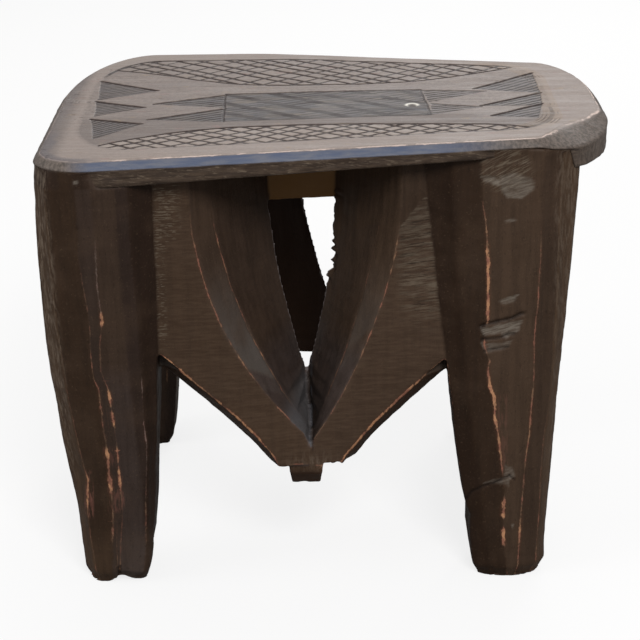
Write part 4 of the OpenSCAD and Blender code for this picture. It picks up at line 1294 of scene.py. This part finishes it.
def top_wood():
    """The carved face, greyed partly by dust and partly by a painted sheen, the chamfer round it, and the
    dark side below.
    """
    m = Nodes("carved top", 0.28)
    # The face's grey-brown is partly its dust and wear and partly a painted glancing sheen.
    grain = m.patches((60, 1.6, 30), 5, 0.65, 1.0, 0.3, 0.7)
    face = m.layered(m.mix(grain, (106, 95, 89), (132, 120, 113)), FACE_LAYERS)
    sunk = m.mix(m.patches((22, 9, 20), 3, 0.6, 4.0, 0.4, 0.65), (65, 65, 70), (82, 75, 69))
    face = m.mix(m.times(m.attr("tint"), 0.88), face, sunk)
    face = m.layered(face, PANEL_LAYERS)
    cut = m.times(m.ramp(m.attr("cut"), 0.08, 0.6), m.patches(6, 3, 0.6, 6.0, 0.25, 0.55, 0.7, 1.0))
    face = m.mix(m.times(cut, 0.94), face, (40, 27, 24))
    face = m.mix(m.attr("chip"), face, (226, 220, 208))

    # The chamfer: painted bluish sky reflection in front, scratched along the edge, with a thin pale broken
    # arris.
    scratches, pocks = ((18, 18, 2), 4, 0.6, 7.0, 0.35, 0.7), ((2.2, 2.2, 5), 4, 0.65, 7.5, 0.34, 0.66)
    blue = m.mix(m.patches(*scratches), (76, 84, 104), (98, 100, 110))
    plain = m.mix(m.patches(*pocks), (78, 70, 64), (110, 99, 91))
    rim = m.attr("rim")
    colour = m.mix(m.ramp(rim, 0.0, 0.25), face, m.mix(m.attr("front"), plain, blue))
    colour = m.mix(m.times(m.attr("corner"), 0.75), colour, (96, 90, 91))
    wobble = m.times(m.minus(m.noise(4.5, 3, 0.6, 9.0), 0.5), 2.4)
    near = m.math("ABSOLUTE", m.plus(m.attr("edge"), wobble))
    chance = m.plus(m.noise((26, 20, 20), 4, 0.65, 12.0), m.times(m.attr("whole"), 0.10))
    pale = m.times(m.ramp(near, 0.15, 0.8, 1.0, 0.0), m.ramp(chance, 0.50, 0.60), 0.85, m.attr("line"))
    colour = m.mix(pale, colour, (206, 184, 172))

    # Below the chamfer, the same dark wood as the body.
    side = m.mix(m.patches((16, 16, 2.2), 4, 0.62, 13.0, 0.38, 0.68), (50, 38, 29), (74, 60, 48))
    side = m.layered(side, SIDE_LAYERS)
    # Painted light on the right end: it takes the chamfer's grey-brown; the left end a smaller share as its
    # rough grey wood.
    side = m.mix(m.times(m.attr("end"), 0.8), side, plain)
    m.put(m.mix(m.ramp(rim, 0.93, 1.03), colour, side), m.bsdf.inputs["Base Color"])
    m.put(m.patches((40, 6, 30), 3, 0.6, 15.0, 0.3, 0.7, 0.46, 0.66), m.bsdf.inputs["Roughness"])
    m.bump(m.plus(m.noise((24, 0.9, 20), 4, 0.6, 16.0), m.times(m.noise(1.3, 3, 0.6, 17.0), 0.5)), 0.7)
    return m.material


seat.data.materials.append(top_wood())
body_mesh.materials.append(dark_wood())
for piece, slot, nodes in ((seat, "wood_top", ["seat"]), (body, "wood_dark", BODY)):
    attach(piece, "root")
    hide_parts(*nodes)


def two_shaders(holder, output, kinds):
    """An emptied node tree that mixes two shaders: its wiring, the shaders, the factor and the rays."""
    holder.use_nodes = True
    tree = holder.node_tree
    tree.nodes.clear()
    first, second = (tree.nodes.new(kind) for kind in kinds)
    mixer, rays = tree.nodes.new("ShaderNodeMixShader"), tree.nodes.new("ShaderNodeLightPath").outputs
    tree.links.new(first.outputs[0], mixer.inputs[1])
    tree.links.new(second.outputs[0], mixer.inputs[2])
    tree.links.new(mixer.outputs[0], tree.nodes.new(output).inputs[0])
    factor = tree.nodes.new("ShaderNodeMath")
    tree.links.new(rays["Is Camera Ray"], factor.inputs[0])
    tree.links.new(factor.outputs[0], mixer.inputs[0])
    return tree, first, second, factor, rays


# Stage: a pale floor that the camera sees as white but for the soft shadow.
FLOOR, FLOOR_WHITE = 6000, 0.80
floor = new_mesh("floor", [(-FLOOR, -FLOOR, 0), (FLOOR, -FLOOR, 0), (FLOOR, FLOOR, 0), (-FLOOR, FLOOR, 0)],
                 [[0, 1, 2, 3]])
pale_floor = bpy.data.materials.new("pale floor")
floor.data.materials.append(pale_floor)
tree, diffuse, glow, share, rays = two_shaders(
    pale_floor, "ShaderNodeOutputMaterial", ("ShaderNodeBsdfDiffuse", "ShaderNodeEmission"))
glow.inputs["Strength"].default_value = 1.0
share.operation = "MULTIPLY"
share.inputs[1].default_value = FLOOR_WHITE
bounce = tree.nodes.new("ShaderNodeMix")
bounce.data_type = "RGBA"
bounce.inputs[6].default_value = (0.30, 0.29, 0.28, 1)
bounce.inputs[7].default_value = (0.86, 0.85, 0.84, 1)
tree.links.new(rays["Is Camera Ray"], bounce.inputs[0])
tree.links.new(bounce.outputs[2], diffuse.inputs["Color"])

# The studio: a soft light all round, which the camera sees as white.
studio = bpy.data.worlds.new("studio")
bpy.context.scene.world = studio
tree, soft_light, white, seen, rays = two_shaders(
    studio, "ShaderNodeOutputWorld", ("ShaderNodeBackground", "ShaderNodeBackground"))
soft_light.inputs["Color"].default_value = (0.97, 0.98, 1.0, 1)
soft_light.inputs["Strength"].default_value = 0.42
white.inputs["Strength"].default_value = 1.0
seen.operation = "MAXIMUM"
tree.links.new(rays["Is Transmission Ray"], seen.inputs[1])

# Lamps: the place in metres, the power in watts and the size. All are aimed at the stool.
AIM = Vector((0, 0, 0.16))
LAMPS = [
    ("key", (0.5, -1.9, 1.9), 44, 0.8),
    ("left", (-1.9, -0.6, 1.3), 12, 1.0),
    ("back", (0.5, 1.8, 1.6), 22, 1.4),
]
for name, place, power, size in LAMPS:
    lamp = bpy.data.lights.new(name, "AREA")
    lamp.energy, lamp.size = power, size
    light_object = add_object(name, lamp)
    light_object.location = place
    light_object.rotation_euler = (AIM - Vector(place)).to_track_quat("-Z", "Y").to_euler()

# The camera that was fitted to the photograph: its place in metres and its angles in degrees.
CAMERA_AT, PITCH, ROLL = (-0.00786, -1.22547, 0.63769), 21.8, -0.9
camera = bpy.data.cameras.new("camera")
camera.lens, camera.sensor_width, camera.sensor_fit = 101.25, 36.0, "HORIZONTAL"
view = add_object("camera", camera)
turn = Matrix.Rotation(math.radians(90 - PITCH), 4, "X") @ Matrix.Rotation(math.radians(ROLL), 4, "Z")
view.matrix_world = Matrix.Translation(CAMERA_AT) @ turn
bpy.context.scene.camera = view
bpy.context.scene.view_settings.view_transform = "Standard"
